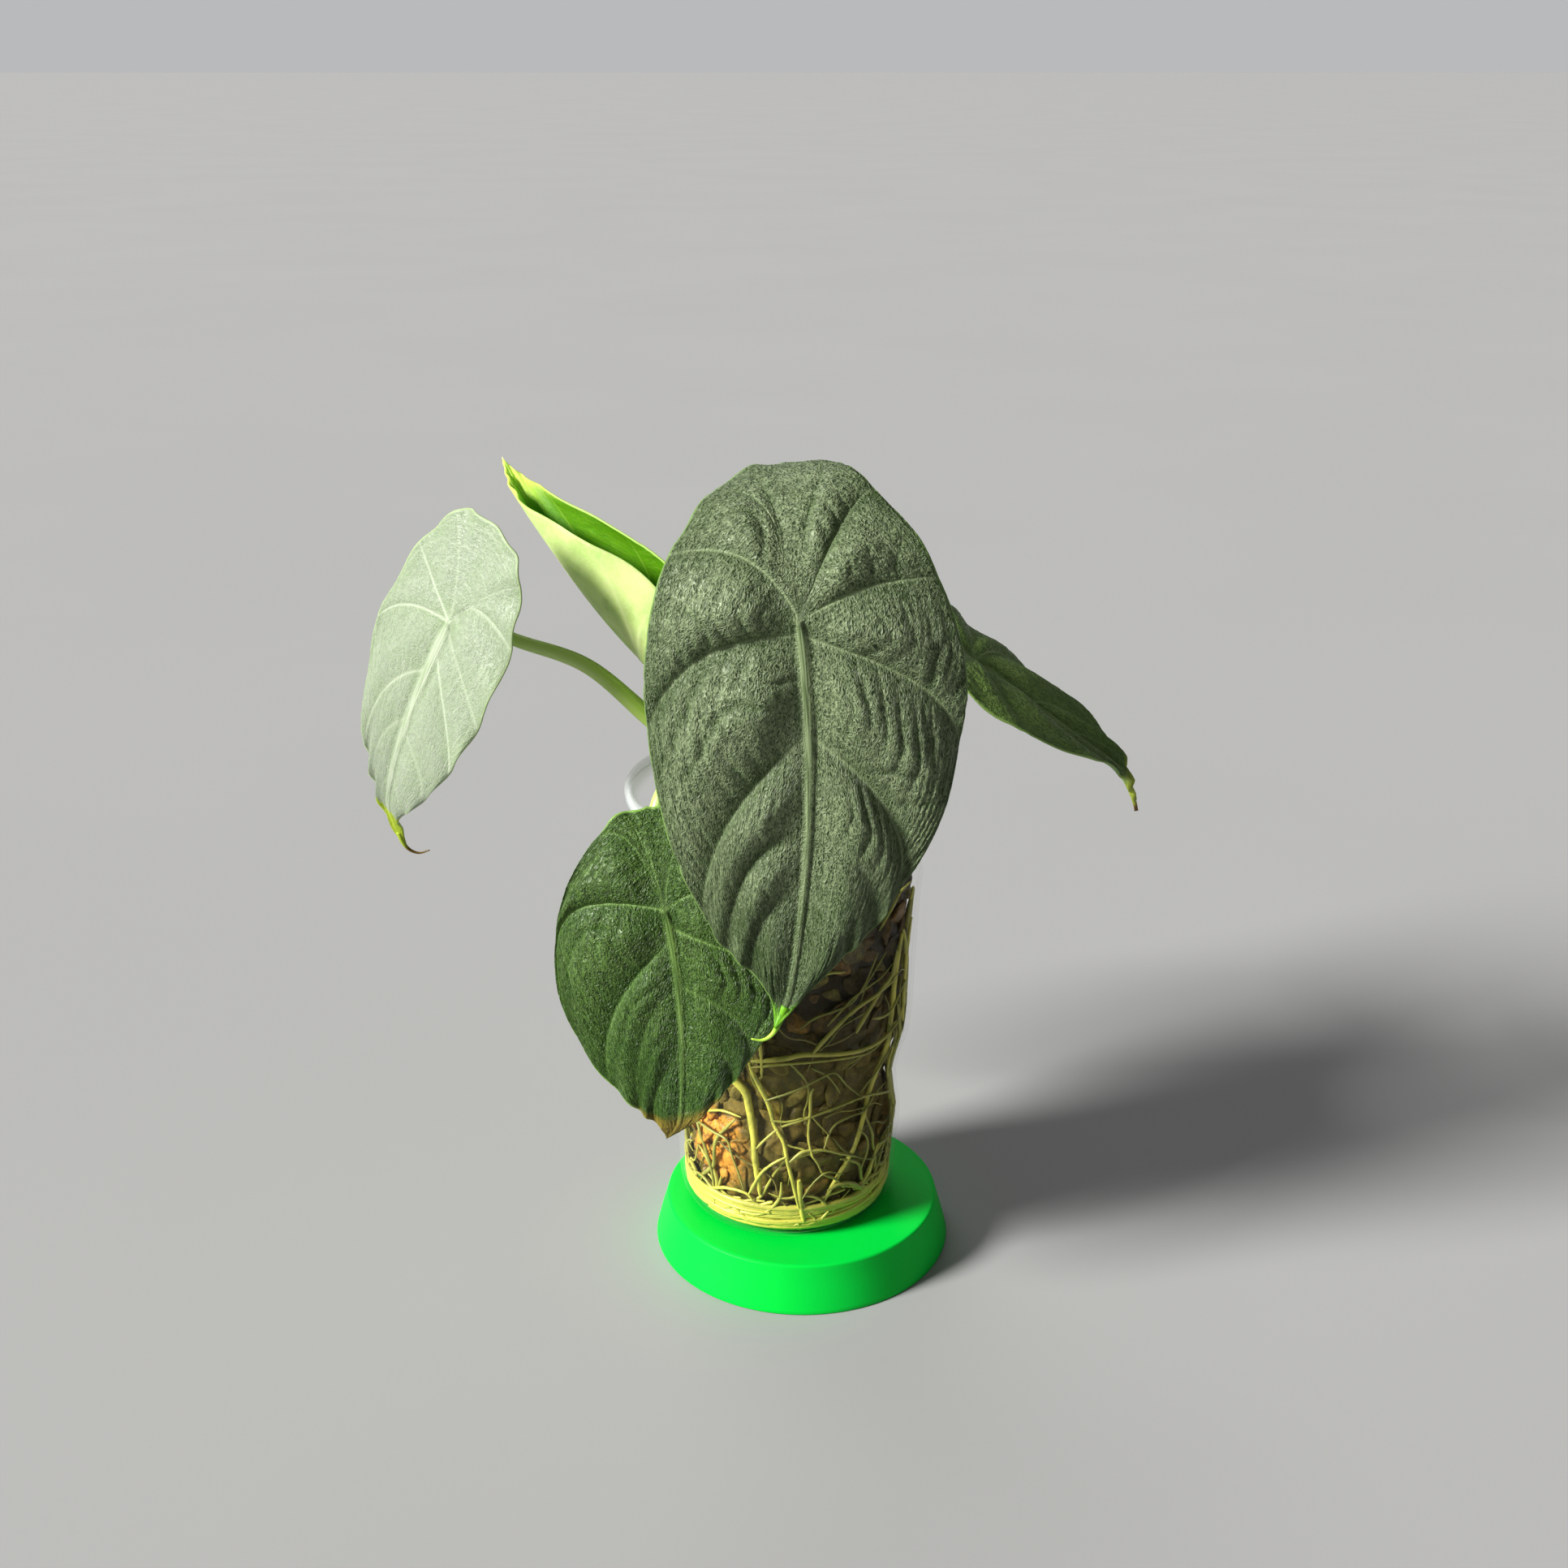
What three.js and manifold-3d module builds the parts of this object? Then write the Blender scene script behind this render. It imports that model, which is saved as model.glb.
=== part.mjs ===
// Potted alocasia: a plant with five peltate leaves in a clear cup of chunky mix on a round stand.
// Millimetres, +Z up, origin at the centre of the stand's bottom face, front of the plant towards -Y.
import * as THREE from 'three';
import { mergeVertices } from 'three/addons/utils/BufferGeometryUtils.js';
import Module from 'manifold-3d';

const wasm = await Module();
wasm.setup();

// Driving dimensions
const SEAT_GAP = 0.3;
const STAND = { bottomRadius: 46, topRadius: 42.3, height: 14.8, edge: 0.8 };
const CUP = {
  x: -4.6, y: 3, rimTop: 151.5, rimRadius: 47.5, skirt: 3.5, footRadius: 29.6, wall: 0.8, floor: 1.2,
};
const CUP_FLOOR = STAND.height + SEAT_GAP;
const MIX = { top: 128, edgeLift: 3.4, footRadius: 25, wallGap: 3.2, holeRadius: 13.8 };
const CROWN = { radius: 13.4, top: 135.7, bottom: 118, petioleRing: 7.9 };
const PETIOLE = { baseRadius: 4, topRadius: 1.7, taper: 1.5, steps: 15, sides: 9 };
const BLADE_THICKNESS = 0.9;
const KEEL = 1;
const ROOT = { radius: 1.05, shellGap: 1.6, sides: 4, count: 10, seed: 41, top: 121, bottom: 19.5 };
const ROUND_SEGMENTS = 36;

// Colours, from the photograph
const COLOURS = {
  stand: 0x12dc50,
  cup: 0xdfe8ea,
  mix: 0x2b241c,
  roots: 0xb4b45a,
  crown: 0x8a9a4c,
  petiole: 0x9bc455,
  darkLeaf: 0x46603e,
  greenLeaf: 0x3f6a2c,
  silverLeaf: 0xa3b598,
  limeLeaf: 0x9ad13e,
};

function finish(color, roughness, metalness = 0) {
  return new THREE.MeshStandardMaterial({ color, roughness, metalness });
}

// Outer radius of the cup at a height above the stand's bottom face
const CUP_OUTLINE = [
  [CUP_FLOOR + CUP.floor, 31.6],
  [20, 33.3],
  [33, 34],
  [43.7, 35.1],
  [49.5, 34.3],
  [57.9, 33.6],
  [64, 34.6],
  [74.4, 37.5],
  [102, 38.8],
  [124.4, 40.2],
  [CUP.rimTop - 5, 43.9],
];

function cupRadius(z) {
  const last = CUP_OUTLINE.length - 1;
  let k = 0;
  while (k < last - 1 && z > CUP_OUTLINE[k + 1][0]) k += 1;
  const [z0, r0] = CUP_OUTLINE[k];
  const [z1, r1] = CUP_OUTLINE[k + 1];
  const share = THREE.MathUtils.clamp((z - z0) / (z1 - z0), 0, 1);
  return r0 + (r1 - r0) * share;
}

// A body of revolution about +Z; the profile is a list of [radius, height] from bottom to top
function turned(profile, segments = ROUND_SEGMENTS) {
  const points = profile.map(([radius, height]) => new THREE.Vector2(radius, height));
  return new THREE.LatheGeometry(points, segments).rotateX(Math.PI / 2);
}

function welded(geometry) {
  geometry.deleteAttribute('normal');
  geometry.deleteAttribute('uv');
  return mergeVertices(geometry, 1e-4);
}

function toSolid(geometry) {
  const merged = welded(geometry);
  const vertProperties = new Float32Array(merged.attributes.position.array);
  const triVerts = new Uint32Array(merged.index.array);
  return new wasm.Manifold(new wasm.Mesh({ numProp: 3, vertProperties, triVerts }));
}

function fromSolid(solid) {
  const mesh = solid.getMesh();
  const geometry = new THREE.BufferGeometry();
  geometry.setAttribute('position', new THREE.BufferAttribute(mesh.vertProperties, 3));
  geometry.setIndex(new THREE.BufferAttribute(mesh.triVerts, 1));
  geometry.computeVertexNormals();
  return geometry;
}

// A closed mesh from corner points and triangles
function meshFrom(points, triangles) {
  const geometry = new THREE.BufferGeometry();
  geometry.setAttribute('position', new THREE.Float32BufferAttribute(points.flatMap((p) => p.toArray()), 3));
  geometry.setIndex(triangles.flat());
  geometry.computeVertexNormals();
  return geometry;
}

// A round rod along a curve, its radius given along the way; a closed curve has no ends
function rod(curve, radiusAt, steps, sides, closed = false) {
  const frames = curve.computeFrenetFrames(steps, closed);
  const rings = closed ? steps : steps + 1;
  const points = [];
  for (let i = 0; i < rings; i += 1) {
    const centre = curve.getPointAt(i / steps);
    const radius = radiusAt(i / steps);
    for (let k = 0; k < sides; k += 1) {
      const turn = (2 * Math.PI * k) / sides;
      const across = frames.normals[i].clone().multiplyScalar(Math.cos(turn) * radius);
      const up = frames.binormals[i].clone().multiplyScalar(Math.sin(turn) * radius);
      points.push(centre.clone().add(across).add(up));
    }
  }
  const triangles = [];
  const spans = closed ? rings : rings - 1;
  for (let i = 0; i < spans; i += 1) {
    const here = i * sides;
    const next = ((i + 1) % rings) * sides;
    for (let k = 0; k < sides; k += 1) {
      const k2 = (k + 1) % sides;
      triangles.push([here + k, here + k2, next + k2], [here + k, next + k2, next + k]);
    }
  }
  if (!closed) {
    const first = points.length;
    points.push(curve.getPointAt(0), curve.getPointAt(1));
    const lastRing = (rings - 1) * sides;
    for (let k = 0; k < sides; k += 1) {
      const k2 = (k + 1) % sides;
      triangles.push([first, k2, k], [first + 1, lastRing + k, lastRing + k2]);
    }
  }
  return meshFrom(points, triangles);
}

// Repeatable random numbers from 0 to 1
function randomSource(seed) {
  let state = seed;
  return () => {
    state = (state * 16807) % 2147483647;
    return state / 2147483647;
  };
}

function makeStand() {
  const { bottomRadius, topRadius, height, edge } = STAND;
  return turned([
    [0, 0],
    [bottomRadius - 0.3, 0],
    [bottomRadius, 0.5],
    [topRadius + 0.1, height - edge],
    [topRadius - edge * 0.4, height - edge * 0.25],
    [topRadius - edge, height],
    [0, height],
  ]);
}

function makeCup() {
  const { rimTop, rimRadius, skirt, wall, floor } = CUP;
  const outer = CUP_OUTLINE.map(([z, radius]) => [radius, z]);
  const inner = CUP_OUTLINE.slice(1).map(([z, radius]) => [radius - wall, z]).reverse();
  return turned([
    [0, CUP_FLOOR],
    [CUP.footRadius, CUP_FLOOR],
    ...outer,
    [rimRadius - 2.6, rimTop - 2.4],
    [rimRadius - 1.1, rimTop - 2.2],
    [rimRadius - 1, rimTop - skirt],
    [rimRadius - 0.2, rimTop - skirt],
    [rimRadius, rimTop - 0.7],
    [rimRadius - 0.8, rimTop],
    [rimRadius - 2.2, rimTop - 0.2],
    [rimRadius - 3.4, rimTop - 1.6],
    ...inner,
    [CUP.footRadius + 1, CUP_FLOOR + floor],
    [0, CUP_FLOOR + floor],
  ]).translate(CUP.x, CUP.y, 0);
}

// Small lumps of bark and pumice: a smooth uneven height from 0 to 1 over a surface
function lumps(u, v) {
  const coarse = Math.sin(u * 5 + 1.3 * Math.sin(v * 0.31)) * Math.sin(v * 0.37 + 0.9);
  const fine = Math.sin(u * 11 + 2) * Math.sin(v * 0.83 + u * 3);
  return 0.5 + 0.32 * coarse + 0.18 * fine;
}

function makeMix() {
  const foot = CUP_FLOOR + CUP.floor + SEAT_GAP;
  const bottom = foot + MIX.edgeLift;
  const side = [bottom + 2.5, 33, 43.7, 50, 57.9, 66, 74.4, 90, 105, 118, MIX.top - 3];
  const profile = [
    [0, foot],
    [MIX.footRadius, foot],
    [cupRadius(bottom) - CUP.wall - MIX.wallGap - 2, bottom],
    ...side.map((z) => [cupRadius(z) - CUP.wall - MIX.wallGap, z]),
    [cupRadius(MIX.top) - CUP.wall - MIX.wallGap - 3, MIX.top],
    [27, MIX.top + 0.4],
    [20, MIX.top + 1.2],
    [MIX.holeRadius, MIX.top + 1.6],
    [MIX.holeRadius, CROWN.bottom - SEAT_GAP],
    [0, CROWN.bottom - SEAT_GAP],
  ];
  const geometry = welded(turned(profile, 32));
  const position = geometry.attributes.position;
  for (let i = 0; i < position.count; i += 1) {
    const p = new THREE.Vector3().fromBufferAttribute(position, i);
    const radius = Math.hypot(p.x, p.y);
    const turn = Math.atan2(p.y, p.x);
    if (radius > MIX.holeRadius + 1 && p.z > bottom + 1) {
      const inward = p.z < MIX.top ? 1.5 * lumps(turn, p.z) : 0;
      const lift = p.z >= MIX.top ? 2.2 * lumps(turn, radius * 2) - 1.1 : 0;
      const scale = (radius - inward) / radius;
      position.setXYZ(i, p.x * scale, p.y * scale, p.z + lift);
    }
  }
  geometry.computeVertexNormals();
  return geometry.translate(CUP.x, CUP.y, 0);
}

function makeCrown() {
  const { radius, top, bottom } = CROWN;
  return turned([
    [0, bottom],
    [radius * 0.7, bottom],
    [radius * 0.92, bottom + 4],
    [radius, bottom + 10],
    [radius, top - 1],
    [radius - 0.7, top],
    [0, top],
  ], 24).translate(CUP.x, CUP.y, 0);
}

// A point of the root net: between the mix and the wall of the cup, at an angle (degrees from -Y
// towards +X) and a height
function onShell(angle, z) {
  const turn = THREE.MathUtils.degToRad(angle - 90);
  const radius = cupRadius(z) - CUP.wall - ROOT.shellGap;
  return new THREE.Vector3(CUP.x + radius * Math.cos(turn), CUP.y + radius * Math.sin(turn), z);
}

function shellCurve(route) {
  const angles = route.map(([angle]) => angle);
  const heights = route.map(([, z]) => z);
  const plan = new THREE.SplineCurve(angles.map((angle, i) => new THREE.Vector2(angle, heights[i])));
  const points = [];
  const pieces = 5 * (route.length - 1);
  for (let i = 0; i <= pieces; i += 1) {
    const at = plan.getPoint(i / pieces);
    points.push(onShell(at.x, at.y));
  }
  return new THREE.CatmullRomCurve3(points);
}

// Roots that show through the front of the cup, as [angle, height] routes
const FRONT_ROOTS = [
  [[-35, 58], [-8, 59], [15, 58], [38, 62], [62, 74]],
  [[4, 60], [22, 76], [42, 92], [58, 106]],
  [[-24, 56], [-13, 44], [-6, 33], [2, 20]],
  [[-38, 60], [-32, 46], [-24, 32], [-17, 20]],
  [[-15, 46], [10, 50], [34, 58], [44, 50]],
  [[4, 38], [26, 42], [52, 50], [75, 54]],
];

// The rest of the net runs down and round from the top of the mix by a seeded rule
function randomRoutes() {
  const random = randomSource(ROOT.seed);
  const routes = [];
  for (let i = 0; i < ROOT.count; i += 1) {
    const start = 62 + (i * 236) / ROOT.count + 8 * random();
    const sweep = (random() < 0.5 ? -1 : 1) * (20 + 45 * random());
    const top = ROOT.top - 22 * random();
    const wander = 10 * random();
    routes.push([
      [start, top],
      [start + 0.35 * sweep + wander, top - 0.33 * (top - ROOT.bottom)],
      [start + 0.6 * sweep - wander, top - 0.66 * (top - ROOT.bottom)],
      [start + sweep, ROOT.bottom],
    ]);
  }
  return routes;
}

function bottomCoil(z, phase) {
  const points = [];
  for (let i = 0; i < 30; i += 1) {
    const angle = i * 12;
    points.push(onShell(angle, z + 0.5 * Math.sin(THREE.MathUtils.degToRad(3 * angle) + phase)));
  }
  return new THREE.CatmullRomCurve3(points, true);
}

function makeRoots() {
  const radiusAt = (share) => ROOT.radius * (1 - 0.25 * share);
  const rods = [...FRONT_ROOTS, ...randomRoutes()].map((route) =>
    rod(shellCurve(route), radiusAt, 12, ROOT.sides));
  for (const [z, phase] of [[18.6, 0], [20.3, 2], [22, 4]]) {
    rods.push(rod(bottomCoil(z, phase), () => ROOT.radius * 1.1, 30, ROOT.sides, true));
  }
  const solid = rods.map(toSolid).reduce((whole, next) => whole.add(next));
  const largest = solid.decompose().reduce((best, next) => (next.volume() > best.volume() ? next : best));
  return fromSolid(largest);
}

// Lateral veins from the seam of the basal lobes to the tip. start is where a vein leaves the midrib,
// as a share of the tip length; end is where it meets the margin, as a share of the whole length;
// lean and spread place the control point of its curve.
const VEINS = [
  { start: 0, end: 0, lean: 0.5, spread: 0.5 },
  { start: 0, end: 0.09, lean: 0.62, spread: 0.18 },
  { start: 0, end: 0.27, lean: 1.15, spread: 0.33 },
  { start: 0, end: 0.54, lean: 0, spread: 0.7 },
  { start: 0.29, end: 0.835, lean: 0.3, spread: 1.24 },
  { start: 0.5, end: 0.915, lean: 0.35, spread: 1.2 },
  { start: 0.7, end: 0.96, lean: 0.4, spread: 1.15 },
  { start: 1, end: 1, lean: 0.5, spread: 1 },
];
const LAST_RADIAL_VEIN = 3;

const BLADE_DEFAULTS = {
  lobeBend: 0, tipBend: 0, sideBend: 0, fold: 0, twist: 0, swing: 0, skew: 0,
  notch: 5, tail: 8, tailCurl: 0, tailSide: 0, puff: 1.8, wave: 0.8,
  rows: [2, 4, 4, 5, 3, 2, 3], columns: 6,
};

// A peltate blade. attach is where the petiole meets it, tipward the way its midrib runs and facing
// the way its upper face looks. a runs along the midrib from the petiole, b across it.
class Blade {
  constructor(size) {
    Object.assign(this, BLADE_DEFAULTS, size);
    this.attach = new THREE.Vector3(...this.attach);
    this.tipward = new THREE.Vector3(...this.tipward).normalize();
    const facing = new THREE.Vector3(...this.facing);
    facing.addScaledVector(this.tipward, -facing.dot(this.tipward));
    this.facing = facing.normalize();
    this.across = this.facing.clone().cross(this.tipward);
    this.length = this.baseLength + this.tipLength;
  }

  halfWidth(share) {
    const [low, high] = this.taper;
    const peak = low / (low + high);
    const scale = peak ** low * (1 - peak) ** high;
    return (share ** low * (1 - share) ** high) / scale;
  }

  vein(v) {
    const k = Math.min(Math.floor(v), VEINS.length - 2);
    const share = v - k;
    const mix = (name) => VEINS[k][name] * (1 - share) + VEINS[k + 1][name] * share;
    return { start: mix('start'), end: mix('end'), lean: mix('lean'), spread: mix('spread'), share };
  }

  // The flat place on vein line v at share q of the way from the midrib to the margin
  flat(v, q, side) {
    const { start, end, lean, spread } = this.vein(v);
    const at = THREE.MathUtils.clamp(end + side * this.skew * Math.sin(Math.PI * end), 0, 1);
    const from = start * this.tipLength;
    const half = side > 0 ? this.halfWidths[1] : this.halfWidths[0];
    const marginA = -this.baseLength + this.length * at + this.notch * Math.exp(-((at / 0.035) ** 2));
    const marginB = side * half * this.halfWidth(at);
    const controlA = from + (marginA - from) * lean;
    const controlB = marginB * spread;
    const [p, m, n] = [(1 - q) ** 2, 2 * q * (1 - q), q * q];
    return [p * from + m * controlA + n * marginA, m * controlB + n * marginB];
  }

  // The bent and folded place of a flat place
  bent(a, b) {
    const radians = THREE.MathUtils.degToRad;
    const bend = a < 0 ? radians(this.lobeBend) / this.baseLength : radians(this.tipBend) / this.tipLength;
    const rate = Math.abs(bend) < 1e-6 ? 1e-6 : bend;
    const turn = rate * a;
    const along = Math.sin(turn) / rate;
    const drop = (1 - Math.cos(turn)) / rate;
    const up = this.facing.clone().multiplyScalar(Math.cos(turn)).addScaledVector(this.tipward, Math.sin(turn));
    const pastTail = Math.max(a - this.tipLength + this.tail, 0) / this.tail;
    const sideways = this.swing * Math.max(a / this.tipLength, 0) ** 2 + this.tailSide * pastTail ** 2;
    const sideRate = radians(this.sideBend) / Math.max(...this.halfWidths);
    const arcAcross = Math.sin(sideRate * b) / sideRate;
    const arcDrop = -(1 - Math.cos(sideRate * b)) / sideRate;
    const foldTurn = radians(this.fold);
    const outward = Math.sqrt(arcAcross * arcAcross + 1) - 1;
    const flatAcross = arcAcross * Math.cos(foldTurn) - Math.sign(b) * arcDrop * Math.sin(foldTurn);
    const rise = outward * Math.sin(foldTurn) + arcDrop * Math.cos(foldTurn);
    const twistTurn = (radians(this.twist) * a) / this.length;
    const [cosine, sine] = [Math.cos(twistTurn), Math.sin(twistTurn)];
    const over = this.across.clone().multiplyScalar(cosine).addScaledVector(up, sine);
    const high = up.clone().multiplyScalar(cosine).addScaledVector(this.across, -sine);
    return this.attach.clone()
      .addScaledVector(this.tipward, along)
      .addScaledVector(this.facing, -drop)
      .addScaledVector(up, -this.tailCurl * pastTail ** 2)
      .addScaledVector(this.across, sideways)
      .addScaledVector(over, flatAcross)
      .addScaledVector(high, rise);
  }

  normal(a, b) {
    const step = 0.4;
    const lengthwise = this.bent(a + step, b).sub(this.bent(a - step, b));
    const crosswise = this.bent(a, b + step).sub(this.bent(a, b - step));
    return lengthwise.cross(crosswise).normalize();
  }

  // Height of the quilted upper face: each panel between two veins is puffed up, its veins lie sunken
  relief(v, q, side) {
    const { start, share } = this.vein(v);
    const smaller = 1 - 0.5 * start;
    const fromMidrib = THREE.MathUtils.smoothstep(q, 0, 0.35) * (1 - 0.6 * q ** 4);
    const panel = Math.sin(Math.PI * share) ** 0.7;
    const folds = Math.abs(Math.sin(3 * Math.PI * share)) * Math.sin(Math.PI * share);
    const edge = this.wave * q ** 4 * Math.sin(2 * Math.PI * (v * 1.1 + (side > 0 ? 0.4 : 0)));
    const midrib = v > LAST_RADIAL_VEIN ? 0.5 * (1 - start) * Math.exp(-((q / 0.05) ** 2)) : 0;
    return this.puff * smaller * fromMidrib * (0.8 * panel + 0.2 * folds) + edge + midrib;
  }

  // The ribs that stand out below: the midrib and each lateral vein
  ribDepth(v, q) {
    const nearest = Math.abs(v - Math.round(v));
    const onVein = Math.exp(-((nearest / 0.12) ** 2)) * (1 - q) ** 1.5;
    const onMidrib = Math.exp(-((q / 0.06) ** 2));
    return KEEL * (1 - 0.6 * this.vein(v).start) * Math.max(0.8 * onVein, onMidrib);
  }

  // Both faces on the same triangles, joined by a wall along the margin
  geometry() {
    const lines = [0];
    this.rows.forEach((count, k) => {
      for (let i = 1; i <= count; i += 1) lines.push(k + i / count);
    });
    const shares = Array.from({ length: this.columns + 1 }, (_, j) => (j / this.columns) ** 1.15);
    const last = lines.length - 1;
    const points = [];
    const corners = new Map();
    const corner = (i, j, side) => {
      let key = `${i},${j},${side}`;
      if (i === last) key = 'tip';
      else if (j === 0) key = lines[i] <= LAST_RADIAL_VEIN ? 'attach' : `midrib${i}`;
      else if (i === 0) key = `seam${j}`;
      if (!corners.has(key)) {
        const isTip = key === 'tip';
        const [v, q] = isTip ? [lines[last], 0] : [lines[i], shares[j]];
        const [a, b] = this.flat(v, q, side);
        const place = this.bent(a, b);
        const normal = this.normal(a, b);
        const height = isTip ? 0 : this.relief(key === 'attach' ? 0 : v, q, side);
        const below = isTip ? 0 : this.ribDepth(key === 'attach' ? LAST_RADIAL_VEIN : v, q);
        corners.set(key, points.length);
        points.push(place.clone().addScaledVector(normal, height + BLADE_THICKNESS / 2));
        points.push(place.clone().addScaledVector(normal, height - BLADE_THICKNESS / 2 - below));
      }
      return corners.get(key);
    };
    const triangles = [];
    const add = (p, q, r, side, below) => {
      if (p === q || q === r || p === r) return;
      const flip = side < 0 !== below;
      const shift = below ? 1 : 0;
      triangles.push(flip ? [p + shift, r + shift, q + shift] : [p + shift, q + shift, r + shift]);
    };
    for (const side of [-1, 1]) {
      for (let i = 0; i < last; i += 1) {
        for (let j = 0; j < this.columns; j += 1) {
          const [p, q, r, s] = [corner(i, j, side), corner(i + 1, j, side),
            corner(i + 1, j + 1, side), corner(i, j + 1, side)];
          for (const below of [false, true]) {
            add(p, q, r, side, below);
            add(p, r, s, side, below);
          }
        }
        const here = corner(i, this.columns, side);
        const next = corner(i + 1, this.columns, side);
        const wall = [[here, next, next + 1], [here, next + 1, here + 1]];
        triangles.push(...wall.map(([p, q, r]) => (side > 0 ? [p, q, r] : [p, r, q])));
      }
    }
    return meshFrom(points, triangles);
  }

  // Where the top of the petiole meets the ribs below the blade
  seat(distance = 0) {
    const depth = BLADE_THICKNESS / 2 + KEEL + SEAT_GAP + distance;
    return this.attach.clone().addScaledVector(this.facing, -depth);
  }
}

const BLADES = {
  front: new Blade({
    attach: [-1.8, -60, 218.4], tipward: [0.125, -0.07, -0.99], facing: [-0.03, -1, 0.067],
    baseLength: 56, tipLength: 107.4, halfWidths: [41.8, 40.3], taper: [0.85, 0.93], notch: 7, skew: 0.05,
    lobeBend: 90, sideBend: 18.5, swing: -17.3, tail: 9, tailCurl: -3, tailSide: -5, puff: 3.2,
    rows: [3, 5, 6, 7, 4, 3, 4], columns: 8,
  }),
  low: new Blade({
    attach: [-37.1, -54, 136.7], tipward: [0.199, -0.204, -0.959], facing: [-0.085, -0.978, 0.19],
    baseLength: 33, tipLength: 63.2, halfWidths: [34.8, 31], taper: [0.95, 1],
    lobeBend: 22, sideBend: 21, swing: -9.7, tail: 6, tailCurl: 2, tailSide: -4, puff: 2.3,
  }),
  left: new Blade({
    attach: [-99.2, 0, 200.2], tipward: [-0.474, 0.119, -0.873], facing: [-0.622, -0.746, 0.236],
    baseLength: 37.5, tipLength: 105, halfWidths: [26.5, 26], taper: [0.6, 1.16],
    tipBend: 45, sideBend: 3, swing: -21.5, tail: 20, tailCurl: -1.5, tailSide: 12, puff: 1,
  }),
  right: new Blade({
    attach: [51.3, 27, 180.2], tipward: [0.787, -0.108, -0.608], facing: [0.597, -0.12, 0.793],
    baseLength: 34, tipLength: 71, halfWidths: [28, 28], taper: [0.77, 1.2],
    sideBend: 41, fold: 19, swing: 10.8, tail: 22, tailCurl: 8.8, puff: 1.3,
  }),
  new: new Blade({
    attach: [-45.2, 4, 187.9], tipward: [-0.669, 0.546, 0.505], facing: [0.467, -0.221, 0.857],
    baseLength: 26, tipLength: 78, halfWidths: [28, 28], taper: [0.77, 1.32], notch: 4,
    tipBend: -20, sideBend: -72, fold: 41, twist: -45, swing: -2, tail: 14, puff: 0.7, wave: 0.4,
  }),
};

// Each petiole stands on the crown at its angle from +X, and runs through its points to its blade
const PETIOLES = {
  low: {
    angle: 234,
    route: [
      [-15, -10, 152], [-25, -20, 163], [-34, -29, 166],
      [-39.5, -36, 160], [-40.8, -39.5, 149], [-39, -41.5, 140],
    ],
    approach: 6,
  },
  front: { angle: 306, route: [[-1, -6, 160], [-2, -16, 190], [-2.4, -34, 211]], approach: 7 },
  right: { angle: 18, route: [[10, 9, 158], [24, 17, 173], [38, 23, 178]], approach: 7 },
  new: { angle: 90, route: [[-14, 11, 155], [-28, 9, 170], [-41, 7, 177.5]], approach: 5 },
  left: { angle: 162, route: [[-26, 4.3, 154], [-44, 3, 170.6], [-62, 2, 187], [-81, 1, 194.6]], approach: 6 },
};

function makePetiole(name) {
  const { angle, route, approach } = PETIOLES[name];
  const turn = THREE.MathUtils.degToRad(angle);
  const footZ = CROWN.top + SEAT_GAP;
  const foot = new THREE.Vector3(
    CUP.x + CROWN.petioleRing * Math.cos(turn),
    CUP.y + CROWN.petioleRing * Math.sin(turn),
    footZ,
  );
  const points = [
    foot,
    foot.clone().setZ(footZ + 5),
    ...route.map((p) => new THREE.Vector3(...p)),
    BLADES[name].seat(approach),
    BLADES[name].seat(),
  ];
  const { baseRadius, topRadius, taper, sides, steps } = PETIOLE;
  const radiusAt = (share) => topRadius + (baseRadius - topRadius) * (1 - share) ** taper;
  return rod(new THREE.CatmullRomCurve3(points), radiusAt, steps, sides);
}

const plant = new THREE.Group();

function place(name, geometry, material) {
  const mesh = new THREE.Mesh(geometry, material);
  mesh.name = name;
  plant.add(mesh);
}

place('stand', makeStand(), finish(COLOURS.stand, 0.35));
place('cup', makeCup(), finish(COLOURS.cup, 0.2));
place('potting_mix', makeMix(), finish(COLOURS.mix, 0.95));
place('roots', makeRoots(), finish(COLOURS.roots, 0.6));
place('crown', makeCrown(), finish(COLOURS.crown, 0.7));

const BLADE_COLOURS = {
  front: COLOURS.darkLeaf,
  low: COLOURS.greenLeaf,
  left: COLOURS.silverLeaf,
  right: COLOURS.greenLeaf,
  new: COLOURS.limeLeaf,
};
for (const name of Object.keys(BLADES)) {
  place(`${name}_blade`, BLADES[name].geometry(), finish(BLADE_COLOURS[name], 0.6));
  place(`${name}_petiole`, makePetiole(name), finish(COLOURS.petiole, 0.5));
}

export default plant;
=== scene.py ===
"""Young potted alocasia with quilted shield-shaped leaves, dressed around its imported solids.

Sizes in the classes are in millimetres, as in the part's source, and meshes are written in metres.
The front of the plant looks towards -Y and +Z is up.
"""

import logging
import math
from collections.abc import Callable, Mapping, Sequence
from dataclasses import dataclass, field
from enum import Enum
from typing import Protocol

import bpy
import numpy as np
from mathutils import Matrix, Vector
from numpy.typing import NDArray


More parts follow.
